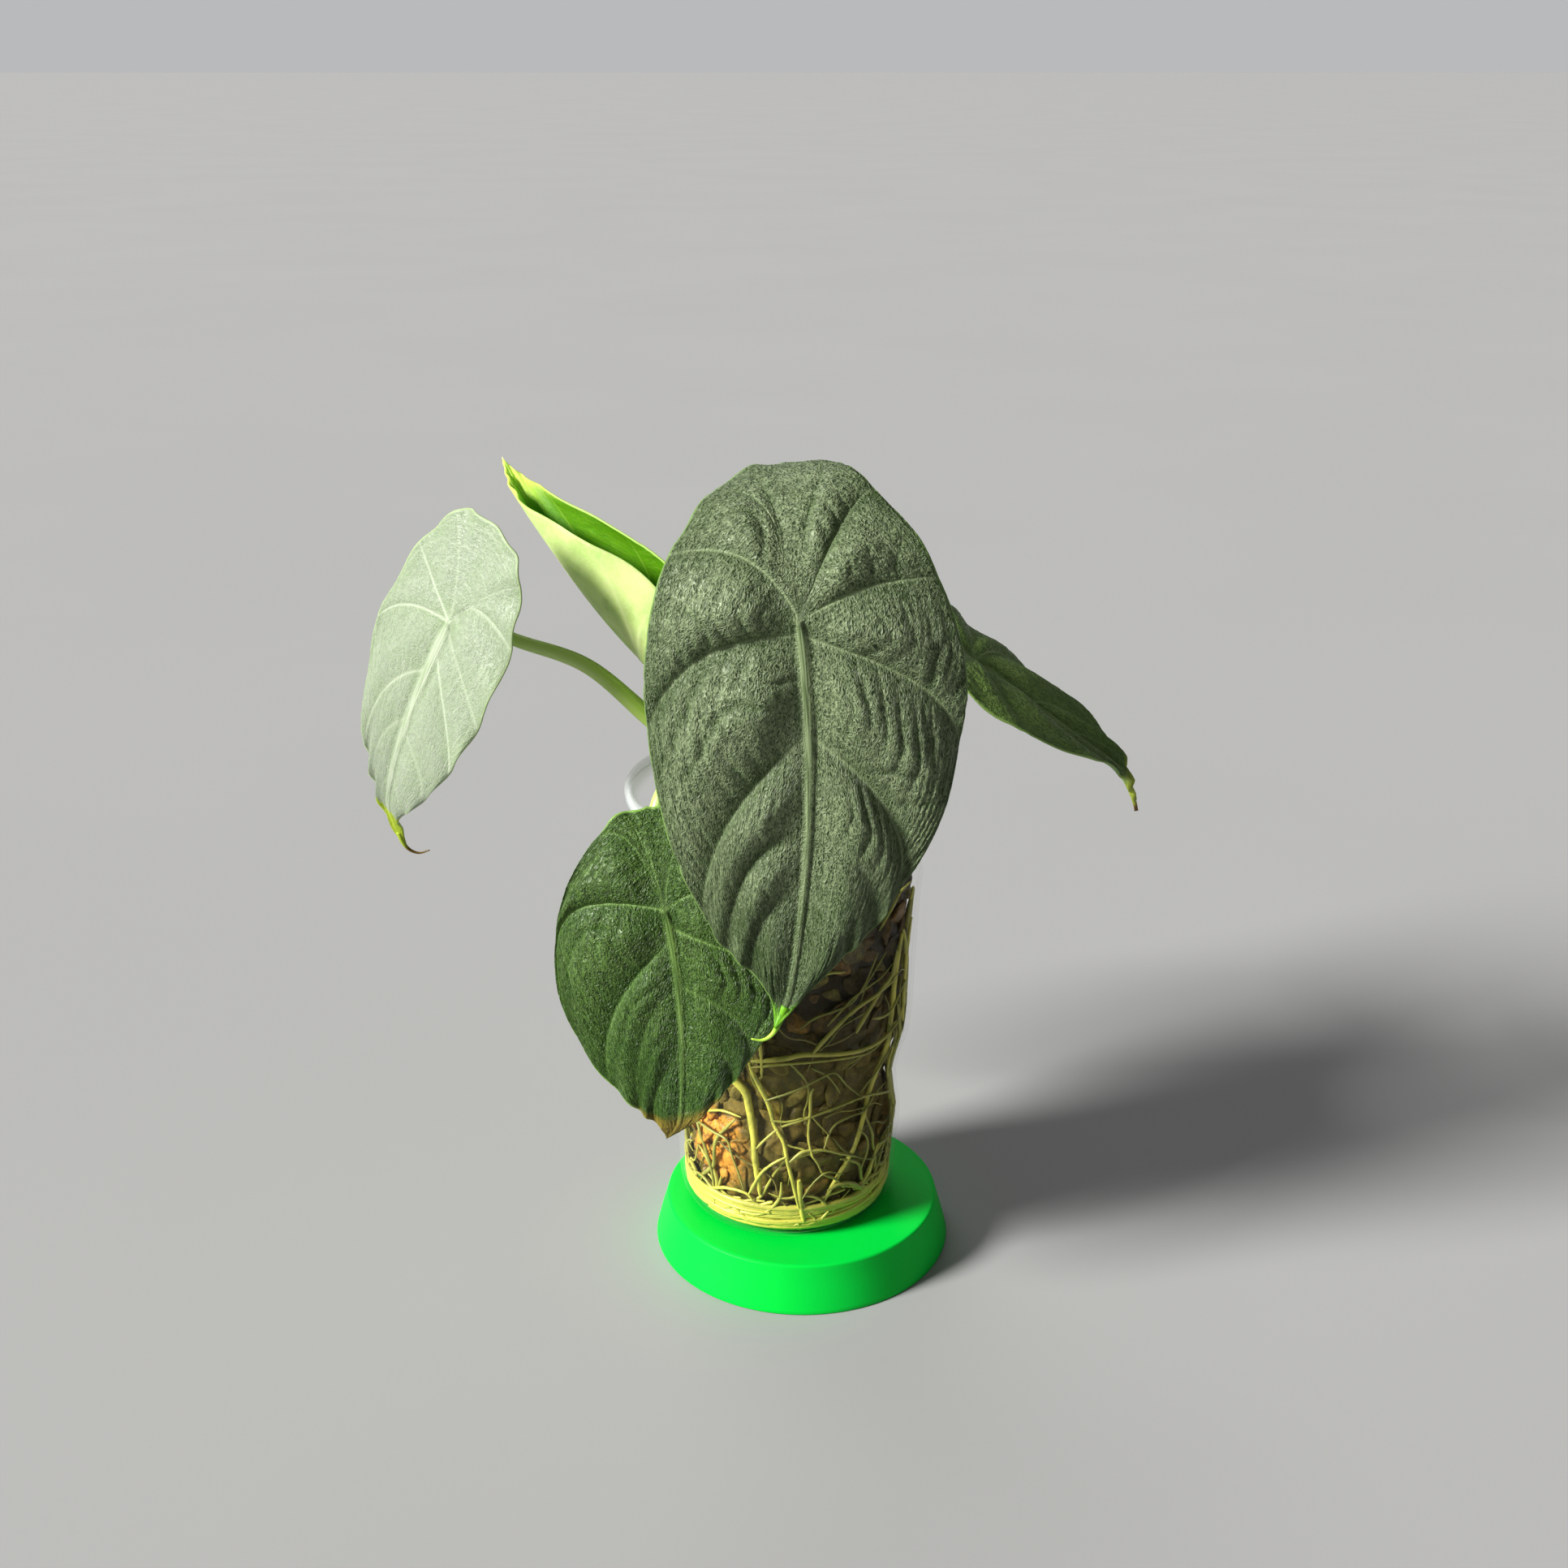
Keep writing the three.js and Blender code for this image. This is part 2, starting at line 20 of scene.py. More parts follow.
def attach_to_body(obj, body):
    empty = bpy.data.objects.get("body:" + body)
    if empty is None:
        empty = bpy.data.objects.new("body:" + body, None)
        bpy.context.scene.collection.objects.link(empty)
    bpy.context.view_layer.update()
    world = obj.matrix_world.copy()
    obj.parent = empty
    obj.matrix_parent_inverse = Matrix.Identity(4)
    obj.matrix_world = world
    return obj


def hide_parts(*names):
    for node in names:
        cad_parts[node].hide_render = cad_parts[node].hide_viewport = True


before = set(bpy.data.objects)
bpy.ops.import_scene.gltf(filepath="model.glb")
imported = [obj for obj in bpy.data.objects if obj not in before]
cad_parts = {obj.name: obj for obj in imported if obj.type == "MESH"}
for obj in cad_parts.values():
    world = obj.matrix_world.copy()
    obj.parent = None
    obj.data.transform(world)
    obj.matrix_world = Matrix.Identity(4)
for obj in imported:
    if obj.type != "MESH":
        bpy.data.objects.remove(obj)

Array = NDArray[np.float64]
Colour = tuple[float, float, float, float]
Values = dict[str, Array]
Faces = list[list[int]]
Socket = bpy.types.NodeSocket
Place = tuple[float, float, float]

LOG = logging.getLogger("potted_plant")
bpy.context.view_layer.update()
MM = 0.001
BODY = "root"
CURVE_STEPS = 60


# Numbers and curves


def tint(code: str) -> Colour:
    """Turn a six-digit screen colour code into a linear colour with full alpha."""
    parts = [int(code[i : i + 2], 16) / 255 for i in (0, 2, 4)]
    linear = [p / 12.92 if p < 0.04045 else ((p + 0.055) / 1.055) ** 2.4 for p in parts]
    return (linear[0], linear[1], linear[2], 1.0)


def smoothstep(value: Array, low: float, high: float) -> Array:
    """Rise smoothly from 0 at low to 1 at high."""
    share = np.clip((value - low) / (high - low), 0.0, 1.0)
    return share * share * (3 - 2 * share)


def bell(value: Array, width: float | Array) -> Array:
    """Fall from 1 at zero to nearly 0 at twice the width."""
    return np.exp(-((value / width) ** 2))


def unit(vector: Sequence[float] | Array) -> Array:
    """Scale a vector to length one."""
    array = np.asarray(vector, float)
    return array / np.linalg.norm(array)


def spline(points: Array, count: int) -> Array:
    """Run a centripetal Catmull-Rom curve through points and space places evenly along it.

    Args:
        points: Control points, one a row.
        count: How many places to return.

    Returns:
        The places, one a row, the first and last on the end points.
    """
    pts = np.asarray(points, float)
    padded = np.vstack([2 * pts[0] - pts[1], pts, 2 * pts[-1] - pts[-2]])
    dense = []
    for i in range(1, len(padded) - 2):
        p0, p1, p2, p3 = padded[i - 1 : i + 3]
        spans = np.linalg.norm(np.diff(padded[i - 1 : i + 3], axis=0), axis=1)
        d0, d1, d2 = np.maximum(spans**0.5, 1e-4)
        m1 = ((p1 - p0) / d0 - (p2 - p0) / (d0 + d1) + (p2 - p1) / d1) * d1
        m2 = ((p2 - p1) / d1 - (p3 - p1) / (d1 + d2) + (p3 - p2) / d2) * d1
        t = np.linspace(0, 1, CURVE_STEPS)[:, None]
        dense.append(
            (2 * t**3 - 3 * t**2 + 1) * p1
            + (t**3 - 2 * t**2 + t) * m1
            + (3 * t**2 - 2 * t**3) * p2
            + (t**3 - t**2) * m2
        )
    line = np.vstack(dense)
    lengths = np.concatenate([[0.0], np.cumsum(np.linalg.norm(np.diff(line, axis=0), axis=1))])
    wanted = np.linspace(0, lengths[-1], count)
    return np.stack([np.interp(wanted, lengths, line[:, k]) for k in range(pts.shape[1])], axis=1)


def ring_frames(path: Array) -> tuple[Array, Array]:
    """Give each place of a path two crosswise directions that turn as little as possible.

    Args:
        path: Places along the path, one a row.

    Returns:
        Two arrays of unit vectors square to the path.
    """
    along = np.gradient(path, axis=0)
    along /= np.linalg.norm(along, axis=1)[:, None]
    helper = np.array([0.0, 0.0, 1.0]) if abs(along[0][2]) < 0.9 else np.array([0.0, -1.0, 0.0])
    first = unit(np.cross(along[0], helper))
    firsts = [first]
    for tangent in along[1:]:
        first = unit(first - tangent * float(first @ tangent))
        firsts.append(first)
    across = np.array(firsts)
    return across, np.cross(along, across)


def ring_faces(rings: int, sides: int) -> Faces:
    """Join rings of corners one after the other and close both ends on the two points after them."""
    faces = []
    last = (rings - 1) * sides
    following = [(k, (k + 1) % sides) for k in range(sides)]
    for low in range(0, last, sides):
        faces += [[low + k, low + nxt, low + sides + nxt, low + sides + k] for k, nxt in following]
    for k, nxt in following:
        faces += [[last + sides, nxt, k], [last + sides + 1, last + k, last + nxt]]
    return faces


def tube(path: Array, radius: Callable[[Array, Array], Array], sides: int) -> tuple[Array, Faces]:
    """Sweep a ring along a path and close both ends.

    Args:
        path: Places along the centre line.
        radius: Gives radii from the share along the path and the angle round it.
        sides: Corners of each ring.

    Returns:
        Points and faces of the closed tube.
    """
    across, up = ring_frames(path)
    shares = np.linspace(0, 1, len(path))[:, None]
    turns = np.linspace(0, 2 * np.pi, sides, endpoint=False)[None, :]
    sizes = radius(shares, turns)[..., None]
    sideways = np.cos(turns)[..., None] * across[:, None] + np.sin(turns)[..., None] * up[:, None]
    rings = path[:, None] + sizes * sideways
    return np.vstack([rings.reshape(-1, 3), path[0], path[-1]]), ring_faces(len(path), sides)


def lathe(profile: Array, segments: int, centre: tuple[float, float]) -> tuple[Array, Faces]:
    """Turn a profile of [radius, height] places round a vertical axis.

    Args:
        profile: Places from the middle of the underside round to the middle of the top.
        segments: Steps of the full turn.
        centre: Where the axis stands.

    Returns:
        Points and faces of the closed body.
    """
    turns = np.linspace(0, 2 * np.pi, segments, endpoint=False)
    points = [
        np.stack([centre[0] + r * np.cos(turns), centre[1] + r * np.sin(turns), np.full(segments, z)], axis=1)
        for r, z in profile[1:-1]
    ]
    ends = np.array([[*centre, profile[0][1]], [*centre, profile[-1][1]]])
    return np.vstack([*points, ends]), ring_faces(len(profile) - 2, segments)


def mesh_object(
    name: str, points: Array, faces: Faces, values: Values, edges: Sequence[tuple[int, int]] = ()
) -> bpy.types.Object:
    """Make a smooth-shaded mesh object from millimetre points.

    Args:
        name: Name of the object and its mesh.
        points: Corner places in millimetres.
        faces: Corner numbers of each face, seen from outside.
        values: Numbers or triples to keep on the corners, by name.
        edges: Corner numbers of loose edges.

    Returns:
        The new object, linked to the scene.
    """
    mesh = bpy.data.meshes.new(name)
    mesh.from_pydata((points * MM).tolist(), edges, faces)
    for label, numbers in values.items():
        kind, field_name = ("FLOAT_VECTOR", "vector") if numbers.ndim == 2 else ("FLOAT", "value")
        layer = mesh.attributes.new(label, kind, "POINT")
        layer.data.foreach_set(field_name, numbers.astype(np.float32).ravel())
    mesh.polygons.foreach_set("use_smooth", np.ones(len(mesh.polygons), bool))
    mesh.update()
    made = bpy.data.objects.new(name, mesh)
    bpy.context.scene.collection.objects.link(made)
    return made


def hand_over(made: bpy.types.Object, node: str) -> None:
    """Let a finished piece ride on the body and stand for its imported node."""
    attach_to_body(made, BODY)
    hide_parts(node)
    LOG.info("%s: %d faces for node %s", made.name, len(made.data.polygons), node)


# Node trees


class NodeSheet:
    """Adds nodes to a tree and wires them."""

    def __init__(self, tree: bpy.types.NodeTree) -> None:
        """Keep the tree that the nodes go into."""
        self.tree = tree

    def add(
        self, kind: str, feeds: Mapping[str | int, object] | None = None, **settings: object
    ) -> bpy.types.Node:
        """Add a node.

        Args:
            kind: Type of the node.
            feeds: What goes into its sockets, by name or number; None leaves a socket.
            settings: The node's own properties.

        Returns:
            The new node.
        """
        node = self.tree.nodes.new(kind)
        for label, value in settings.items():
            setattr(node, label, value)
        for label, value in (feeds or {}).items():
            if value is not None:
                self.feed(node.inputs[label], value)
        return node

    def feed(self, socket: Socket, value: object) -> None:
        """Link a socket to another, or set its number."""
        if isinstance(value, Socket):
            self.tree.links.new(value, socket)
        else:
            socket.default_value = value

    def maths(self, operation: str, first: object, second: object = None, clamp: bool = False) -> Socket:
        """Work out one number from one or two."""
        node = self.add("ShaderNodeMath", {0: first, 1: second}, operation=operation, use_clamp=clamp)
        return node.outputs[0]

    def times(self, first: object, second: object) -> Socket:
        """Multiply two numbers."""
        return self.maths("MULTIPLY", first, second)

    def most(self, *values: object) -> Socket:
        """Give the greatest of several numbers."""
        result = values[0]
        for value in values[1:]:
            result = self.maths("MAXIMUM", result, value)
        return result

    def off_middle(self, value: object) -> Socket:
        """Give how far a number from 0 to 1 lies from a half."""
        return self.maths("ABSOLUTE", self.maths("SUBTRACT", value, 0.5))

    def vector_maths(
        self, operation: str, first: object, second: object = None, scale: object = None
    ) -> Socket:
        """Work out one vector, or a distance, from one or two vectors and a scale."""
        feeds = {0: first, 1: second, "Scale": scale}
        node = self.add("ShaderNodeVectorMath", feeds, operation=operation)
        return node.outputs["Value"] if operation == "DISTANCE" else node.outputs[0]

    def noise(
        self, place: object, scale: float, detail: float = 2.0, roughness: float = 0.5, warp: float = 0.0
    ) -> Socket:
        """Give smooth noise from 0 to 1."""
        feeds = {"Vector": place, "Scale": scale, "Detail": detail, "Roughness": roughness}
        return self.add("ShaderNodeTexNoise", {**feeds, "Distortion": warp}).outputs[0]

    def cells(self, place: object, scale: float, feature: str = "F1") -> Socket:
        """Give the distance to the nearest cell's middle, or to another feature such as its edge."""
        node = self.add("ShaderNodeTexVoronoi", feature=feature)
        self.feed(node.inputs["Vector"], place)
        self.feed(node.inputs["Scale"], scale)
        return node.outputs["Distance"]

    def spread(
        self, value: object, low: float, high: float, out_low: float = 0.0, out_high: float = 1.0
    ) -> Socket:
        """Map a range of numbers smoothly to another range."""
        feeds = dict(enumerate((value, low, high, out_low, out_high)))
        return self.add("ShaderNodeMapRange", feeds, interpolation_type="SMOOTHSTEP").outputs[0]


class MaterialSheet(NodeSheet):
    """Builds one material around a single surface shader."""

    def __init__(self, name: str) -> None:
        """Start a material with its shader wired to the output."""
        self.material = bpy.data.materials.new(name)
        self.material.use_nodes = True
        super().__init__(self.material.node_tree)
        self.tree.nodes.clear()
        self.shader = self.add("ShaderNodeBsdfPrincipled")
        self.add("ShaderNodeOutputMaterial", {"Surface": self.shader.outputs[0]})

    def object_place(self) -> Socket:
        """Give the place in the object's own coordinates, in metres."""
        return self.add("ShaderNodeTexCoord").outputs["Object"]

    def height(self, place: Socket) -> Socket:
        """Give the third number of a place."""
        return self.add("ShaderNodeSeparateXYZ", {0: place}).outputs[2]

    def kept(self, label: str, vector: bool = False) -> Socket:
        """Give a number or vector kept on the corners of the mesh."""
        node = self.add("ShaderNodeAttribute", attribute_name=label)
        return node.outputs["Vector" if vector else "Fac"]

    def blend(self, share: object, base: object, over: object) -> Socket:
        """Mix two colours by a share from 0 to 1."""
        return self.add("ShaderNodeMix", data_type="RGBA", feeds={0: share, 6: base, 7: over}).outputs[2]

    def steps(self, value: object, stops: Sequence[tuple[float, Colour]], smooth: bool = True) -> Socket:
        """Pick a colour along stops, smoothly or in steps."""
        node = self.add("ShaderNodeValToRGB", {0: value})
        ramp = node.color_ramp
        ramp.interpolation = "EASE" if smooth else "CONSTANT"
        while len(ramp.elements) < len(stops):
            ramp.elements.new(0.5)
        for element, (position, colour) in zip(ramp.elements, stops):
            element.position = position
            element.color = colour
        return node.outputs[0]

    def bump(self, height: object, depth: float, under: object = None) -> Socket:
        """Roughen the surface by a height from 0 to 1 times a depth in metres."""
        feeds = {"Strength": 1.0, "Distance": depth, "Height": height, "Normal": under}
        return self.add("ShaderNodeBump", feeds).outputs[0]

    def close(self, **sockets: object) -> bpy.types.Material:
        """Feed the shader's sockets by name, with underscores for spaces, and give the material."""
        for label, value in sockets.items():
            self.feed(self.shader.inputs[label.replace("_", " ")], value)
        return self.material


class ShapeSheet(NodeSheet):
    """Builds one geometry tree with named sizes and turns its result into plain meshes."""

    def __init__(self, name: str) -> None:
        """Start a tree with a geometry input and output."""
        super().__init__(bpy.data.node_groups.new(name, "GeometryNodeTree"))
        self.identifiers: dict[str, str] = {}
        for way in ("INPUT", "OUTPUT"):
            self.tree.interface.new_socket("Geometry", in_out=way, socket_type="NodeSocketGeometry")
        self.start = self.add("NodeGroupInput")
        self.end = self.add("NodeGroupOutput")

    def size(self, label: str, kind: str = "Float") -> Socket:
        """Add a named input and give its socket inside the tree."""
        socket = self.tree.interface.new_socket(label, in_out="INPUT", socket_type=f"NodeSocket{kind}")
        self.identifiers[label] = socket.identifier
        return self.start.outputs[label]

    def kept(self, label: str) -> Socket:
        """Read a number kept on the points."""
        node = self.add("GeometryNodeInputNamedAttribute", {"Name": label}, data_type="FLOAT")
        return node.outputs["Attribute"]

    def chance(self, low: object, high: object, seed: object, data_type: str = "FLOAT") -> Socket:
        """Give a seeded random value between two bounds."""
        node = self.add("FunctionNodeRandomValue", data_type=data_type)
        sockets = [s for s in node.inputs if s.enabled and s.name in ("Min", "Max", "Seed")]
        for socket, value in zip(sockets, (low, high, seed)):
            self.feed(socket, value)
        return next(s for s in node.outputs if s.enabled)

    def roughen(self, shape: object, scale: float, depth: object) -> Socket:
        """Push a surface in and out along its normals by noise."""
        place = self.add("GeometryNodeInputPosition").outputs[0]
        normal = self.add("GeometryNodeInputNormal").outputs[0]
        lift = self.times(self.maths("SUBTRACT", self.noise(place, scale), 0.5), depth)
        offset = self.vector_maths("SCALE", normal, scale=lift)
        return self.add("GeometryNodeSetPosition", {"Geometry": shape, "Offset": offset}).outputs[0]

    def close(self, shape: object, material: object) -> None:
        """End the tree in real geometry with a material and smooth shading."""
        real = self.add("GeometryNodeRealizeInstances", {"Geometry": shape})
        smooth = self.add("GeometryNodeSetShadeSmooth", {"Geometry": real.outputs[0]})
        feeds = {"Geometry": smooth.outputs[0], "Material": material}
        self.feed(self.end.inputs[0], self.add("GeometryNodeSetMaterial", feeds).outputs[0])

    def make(self, source: bpy.types.Object, name: str, sizes: dict[str, object]) -> bpy.types.Object:
        """Run the tree on a source object and keep the result as a plain mesh.

        Args:
            source: Object whose mesh goes in; it is removed afterwards.
            name: Name of the new object.
            sizes: Values of the tree's named inputs.

        Returns:
            The new object.
        """
        modifier = source.modifiers.new(name, "NODES")
        modifier.node_group = self.tree
        for label, value in sizes.items():
            modifier[self.identifiers[label]] = value
        graph = bpy.context.evaluated_depsgraph_get()
        graph.update()
        finished = source.evaluated_get(graph)
        mesh = bpy.data.meshes.new_from_object(finished, preserve_all_data_layers=True, depsgraph=graph)
        mesh.name = name
        source.modifiers.clear()
        bpy.data.objects.remove(source)
        made = bpy.data.objects.new(name, mesh)
        bpy.context.scene.collection.objects.link(made)
        return made


# Finishes


class Finish(Protocol):
    """Anything that can build a material for a piece."""

    def material(self) -> bpy.types.Material:
        """Build the material."""


def dress(
    name: str, points: Array, faces: Faces, values: Values, finish: Finish, node: str
) -> None:
    """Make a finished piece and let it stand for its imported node.

    Args:
        name: Name of the piece.
        points: Corner places in millimetres.
        faces: Corner numbers of each face.
        values: Numbers to keep on the corners, by name.
        finish: What the piece is made of.
        node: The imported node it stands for.
    """
    made = mesh_object(name, points, faces, values)
    made.data.materials.append(finish.material())
    hand_over(made, node)


@dataclass(frozen=True)
class LeafFinish:
    """Colours, wrinkled net and gloss of a leaf blade."""

    name: str
    # The pit and crest colours are the skin net's own dark pits and pale crests, with painted shade deepening
    # the pits and a painted sheen lightening the crests.
    pit_and_shade: Colour
    crest_and_sheen: Colour
    green: Colour
    vein: Colour
    midrib: Colour
    margin: Colour
    tip: Colour
    tip_end: Colour
    back: Colour
    back_vein: Colour
    tip_reach: tuple[float, float] = (6.0, 3.0)
    end_reach: tuple[float, float] = (0.0, -2.0)
    margin_width: float = 0.5
    margin_share: float = 0.8
    zone_width: float = 7.0
    zone_share: float = 0.5
    # How strongly the valleys, creases and folds are darkened towards the green, as painted shade.
    valley_shade_share: float = 0.6
    tip_green: float = 0.6
    vein_share: float = 1.0
    ladder_share: float = 0.25
    wrinkle: float = 0.0005
    wrinkle_pitch: float = 0.95
    roughness: float = 0.45
    gloss: float = 0.5
    glow: float = 0.08
    glow_depth: float = 0.0014
    glow_radius: Place = (0.5, 1.0, 0.25)
    specks: float = 0.5
    speck: Colour = (0.75, 0.8, 0.7, 1.0)
    speck_scale: float = 260
    patch_scale: float = 70
    mesh_scale: float = 420
    rib_scale: Place = (70.0, 1700.0, 1.0)
    rib_relief: float = 0.0003
    ladder_scale: Place = (330.0, 60.0, 60.0)
    green_reach: tuple[float, float] = (8.0, 62.0)

    def material(self) -> bpy.types.Material:
        """Build the leaf material from the numbers kept on the blade."""
        sheet = MaterialSheet(self.name)
        place = sheet.kept("leaf_place", vector=True)
        grain = sheet.kept("grain", vector=True)
        tip, back, vein = sheet.kept("tip_distance"), sheet.kept("underside"), sheet.kept("vein")
        inward, valley, rib = sheet.kept("inward"), sheet.kept("valley"), sheet.kept("midrib")
        patchy = sheet.noise(place, self.patch_scale, 3.0)
        net = self._net(sheet, place, grain)
        ladder = self._ladder(sheet, grain)
        # Darker green zone: the blade's own greener margins and tip, painted shade in the valleys and
        # creases, and round the hub partly painted shade.
        green_and_shade = sheet.most(
            sheet.times(sheet.spread(inward, 0.0, self.zone_width, 1.0, 0.0), self.zone_share),
            sheet.times(sheet.kept("hub"), 0.8),
            sheet.times(valley, self.valley_shade_share),
            sheet.spread(tip, *self.green_reach, self.tip_green, 0.0),
        )
        green_and_shade = sheet.maths("ADD", green_and_shade, sheet.spread(patchy, 0.4, 0.75, 0.0, 0.3), clamp=True)
        # Net colour: painted shade in the pits and painted sheen on the crests, over the skin's own pale net.
        colour = sheet.blend(net, self.pit_and_shade, self.crest_and_sheen)
        colour = sheet.blend(green_and_shade, colour, sheet.blend(sheet.times(net, 0.33), self.green, self.crest_and_sheen))
        colour = sheet.blend(sheet.times(ladder, self.ladder_share), colour, self.vein)
        line = sheet.times(vein, sheet.maths("SUBTRACT", self.vein_share, sheet.times(net, 0.3)))
        colour = sheet.blend(line, colour, self.vein)
        ribs = sheet.noise(sheet.vector_maths("MULTIPLY", place, self.rib_scale), 1.0, 1.0)
        streaked = sheet.blend(sheet.spread(ribs, 0.4, 0.65, 0.0, 0.65), self.midrib, self.green)
        colour = sheet.blend(rib, colour, streaked)
        edge = sheet.spread(inward, 0.25 * self.margin_width, self.margin_width, self.margin_share, 0.0)
        colour = sheet.blend(edge, colour, self.margin)
        colour = sheet.blend(self._specks(sheet, place), colour, self.speck)
        colour = sheet.blend(back, colour, self._below(sheet, place, patchy))
        ragged = sheet.times(sheet.maths("SUBTRACT", patchy, 0.5), 4.0)
        edgewise = sheet.spread(inward, 0.0, 3.0, 4.0, 0.0)
        reach = sheet.maths("SUBTRACT", sheet.maths("ADD", tip, ragged), edgewise)
        ends = ((reach, self.tip_reach, self.tip), (tip, self.end_reach, self.tip_end))
        for distance, (far, near), over in ends:
            colour = sheet.blend(sheet.spread(distance, near, far, 1.0, 0.0), colour, over)
        smooth = sheet.most(
            rib,
            sheet.times(back, 0.7),
            sheet.spread(inward, 0.0, 0.8, 1.0, 0.0),
            sheet.spread(tip, 0.0, 12.0, 1.0, 0.0),
            sheet.times(vein, 0.7),
        )
        relief = sheet.maths("ADD", net, sheet.times(ladder, 0.3))
        relief = sheet.times(relief, sheet.maths("SUBTRACT", 1.0, smooth))
        return sheet.close(
            Base_Color=colour,
            Roughness=sheet.spread(net, 0.0, 1.0, self.roughness + 0.15, self.roughness - 0.05),
            Normal=sheet.bump(relief, self.wrinkle, sheet.bump(sheet.times(ribs, rib), self.rib_relief)),
            Specular_IOR_Level=self.gloss,
            Subsurface_Weight=self.glow,
            Subsurface_Radius=self.glow_radius,
            Subsurface_Scale=self.glow_depth,
        )

    def _net(self, sheet: MaterialSheet, place: Socket, grain: Socket) -> Socket:
        """Draw the raised winding net of the skin, in rows along the veins, 1 on a crest."""
        scale = 1000.0 / self.wrinkle_pitch
        bend = sheet.add("ShaderNodeTexNoise", {"Vector": place, "Scale": 0.45 * scale, "Detail": 1.0})
        centred = sheet.vector_maths("SUBTRACT", bend.outputs["Color"], (0.5, 0.5, 0.5))
        wander = sheet.vector_maths("SCALE", centred, scale=2.2 / scale)
        rows = sheet.vector_maths("MULTIPLY", sheet.vector_maths("ADD", grain, wander), (1.25, 0.85, 1.0))
        first = sheet.spread(sheet.cells(rows, scale, "DISTANCE_TO_EDGE"), 0.0, 0.4, 0.8, 0.0)
        folds = sheet.noise(rows, 0.8 * scale, 1.0, 0.5, 0.4)
        second = sheet.spread(sheet.off_middle(folds), 0.0, 0.16, 1.0, 0.0)
        return sheet.maths("ADD", sheet.times(first, 0.6), sheet.times(second, 0.6), clamp=True)

    def _ladder(self, sheet: MaterialSheet, grain: Socket) -> Socket:
        """Draw the thin pale cross veins that run from one lateral vein to the next."""
        stretched = sheet.vector_maths("MULTIPLY", grain, self.ladder_scale)
        lines = sheet.noise(stretched, 1.0, 1.0, 0.4, 0.35)
        return sheet.spread(sheet.off_middle(lines), 0.0, 0.04, 1.0, 0.0)

    def _below(self, sheet: MaterialSheet, place: Socket, patchy: Socket) -> Socket:
        """Colour the underside, with its paler ribs."""
        mesh = sheet.spread(sheet.cells(place, self.mesh_scale, "DISTANCE_TO_EDGE"), 0.0, 0.12, 0.3, 0.0)
        plain = sheet.blend(sheet.spread(patchy, 0.35, 0.7, 0.0, 0.35), self.back, self.green)
        ribbed = sheet.most(sheet.kept("vein"), sheet.kept("midrib"))
        return sheet.blend(ribbed, sheet.blend(mesh, plain, self.back_vein), self.back_vein)

    def _specks(self, sheet: MaterialSheet, place: Socket) -> Socket:
        """Scatter a few pale specks."""
        near = sheet.spread(sheet.cells(place, self.speck_scale), 0.03, 0.055, 1.0, 0.0)
        chosen = sheet.maths("GREATER_THAN", sheet.noise(place, 80, 0.0), 0.6)
        return sheet.times(sheet.times(near, chosen), self.specks)


@dataclass(frozen=True)
class StalkFinish:
    """Smooth skin of a leaf stalk that turns paler towards its foot."""

    name: str = "stalk_skin"
    # The upper colour is the stalk's own olive-lime, raised as painted light to lift the shade the blades
    # cast on the stalks.
    upper: Colour = tint("aac26c")
    lower: Colour = tint("b4dc3c")
    stripe: Colour = tint("c0d48c")
    lengthwise: float = 4.0
    crosswise: float = 3.5
    dot_scale: float = 900
    relief: float = 0.00012

    def material(self) -> bpy.types.Material:
        """Build the stalk material."""
        sheet = MaterialSheet(self.name)
        along = sheet.kept("along")
        colour = sheet.blend(sheet.spread(along, 0.15, 0.75), self.lower, self.upper)
        lines = sheet.noise(self._stretched(sheet, along, sheet.kept("around")), 1.0, 2.0)
        colour = sheet.blend(sheet.spread(lines, 0.45, 0.75, 0.0, 0.55), colour, self.stripe)
        dots = sheet.noise(sheet.object_place(), self.dot_scale, 2.0)
        return sheet.close(
            Base_Color=sheet.blend(sheet.spread(dots, 0.6, 0.75, 0.0, 0.25), colour, self.lower),
            Roughness=0.38,
            Normal=sheet.bump(lines, self.relief),
            Subsurface_Weight=0.15,
            Subsurface_Radius=(0.6, 1.0, 0.2),
            Subsurface_Scale=0.002,
        )

    def _stretched(self, sheet: MaterialSheet, along: Socket, around: Socket) -> Socket:
        """Give a place whose noise runs in lines along the stalk."""
        places = {0: sheet.times(along, self.lengthwise)}
        for number, operation in ((1, "COSINE"), (2, "SINE")):
            places[number] = sheet.times(sheet.maths(operation, around), self.crosswise)
        return sheet.add("ShaderNodeCombineXYZ", places).outputs[0]


@dataclass(frozen=True)
class CrownFinish:
    """Ringed stem base, green above and brown where old leaves stood."""

    name: str = "crown_skin"
    green: Colour = tint("9fae5a")
    brown: Colour = tint("6b5230")
    ring_scale: Place = (60.0, 60.0, 900.0)
    relief: float = 0.0004

    def material(self) -> bpy.types.Material:
        """Build the crown material."""
        sheet = MaterialSheet(self.name)
        rings = sheet.noise(sheet.vector_maths("MULTIPLY", sheet.object_place(), self.ring_scale), 1.0, 3.0)
        colour = sheet.blend(sheet.spread(rings, 0.4, 0.65), self.green, self.brown)
        return sheet.close(Base_Color=colour, Roughness=0.6, Normal=sheet.bump(rings, self.relief))


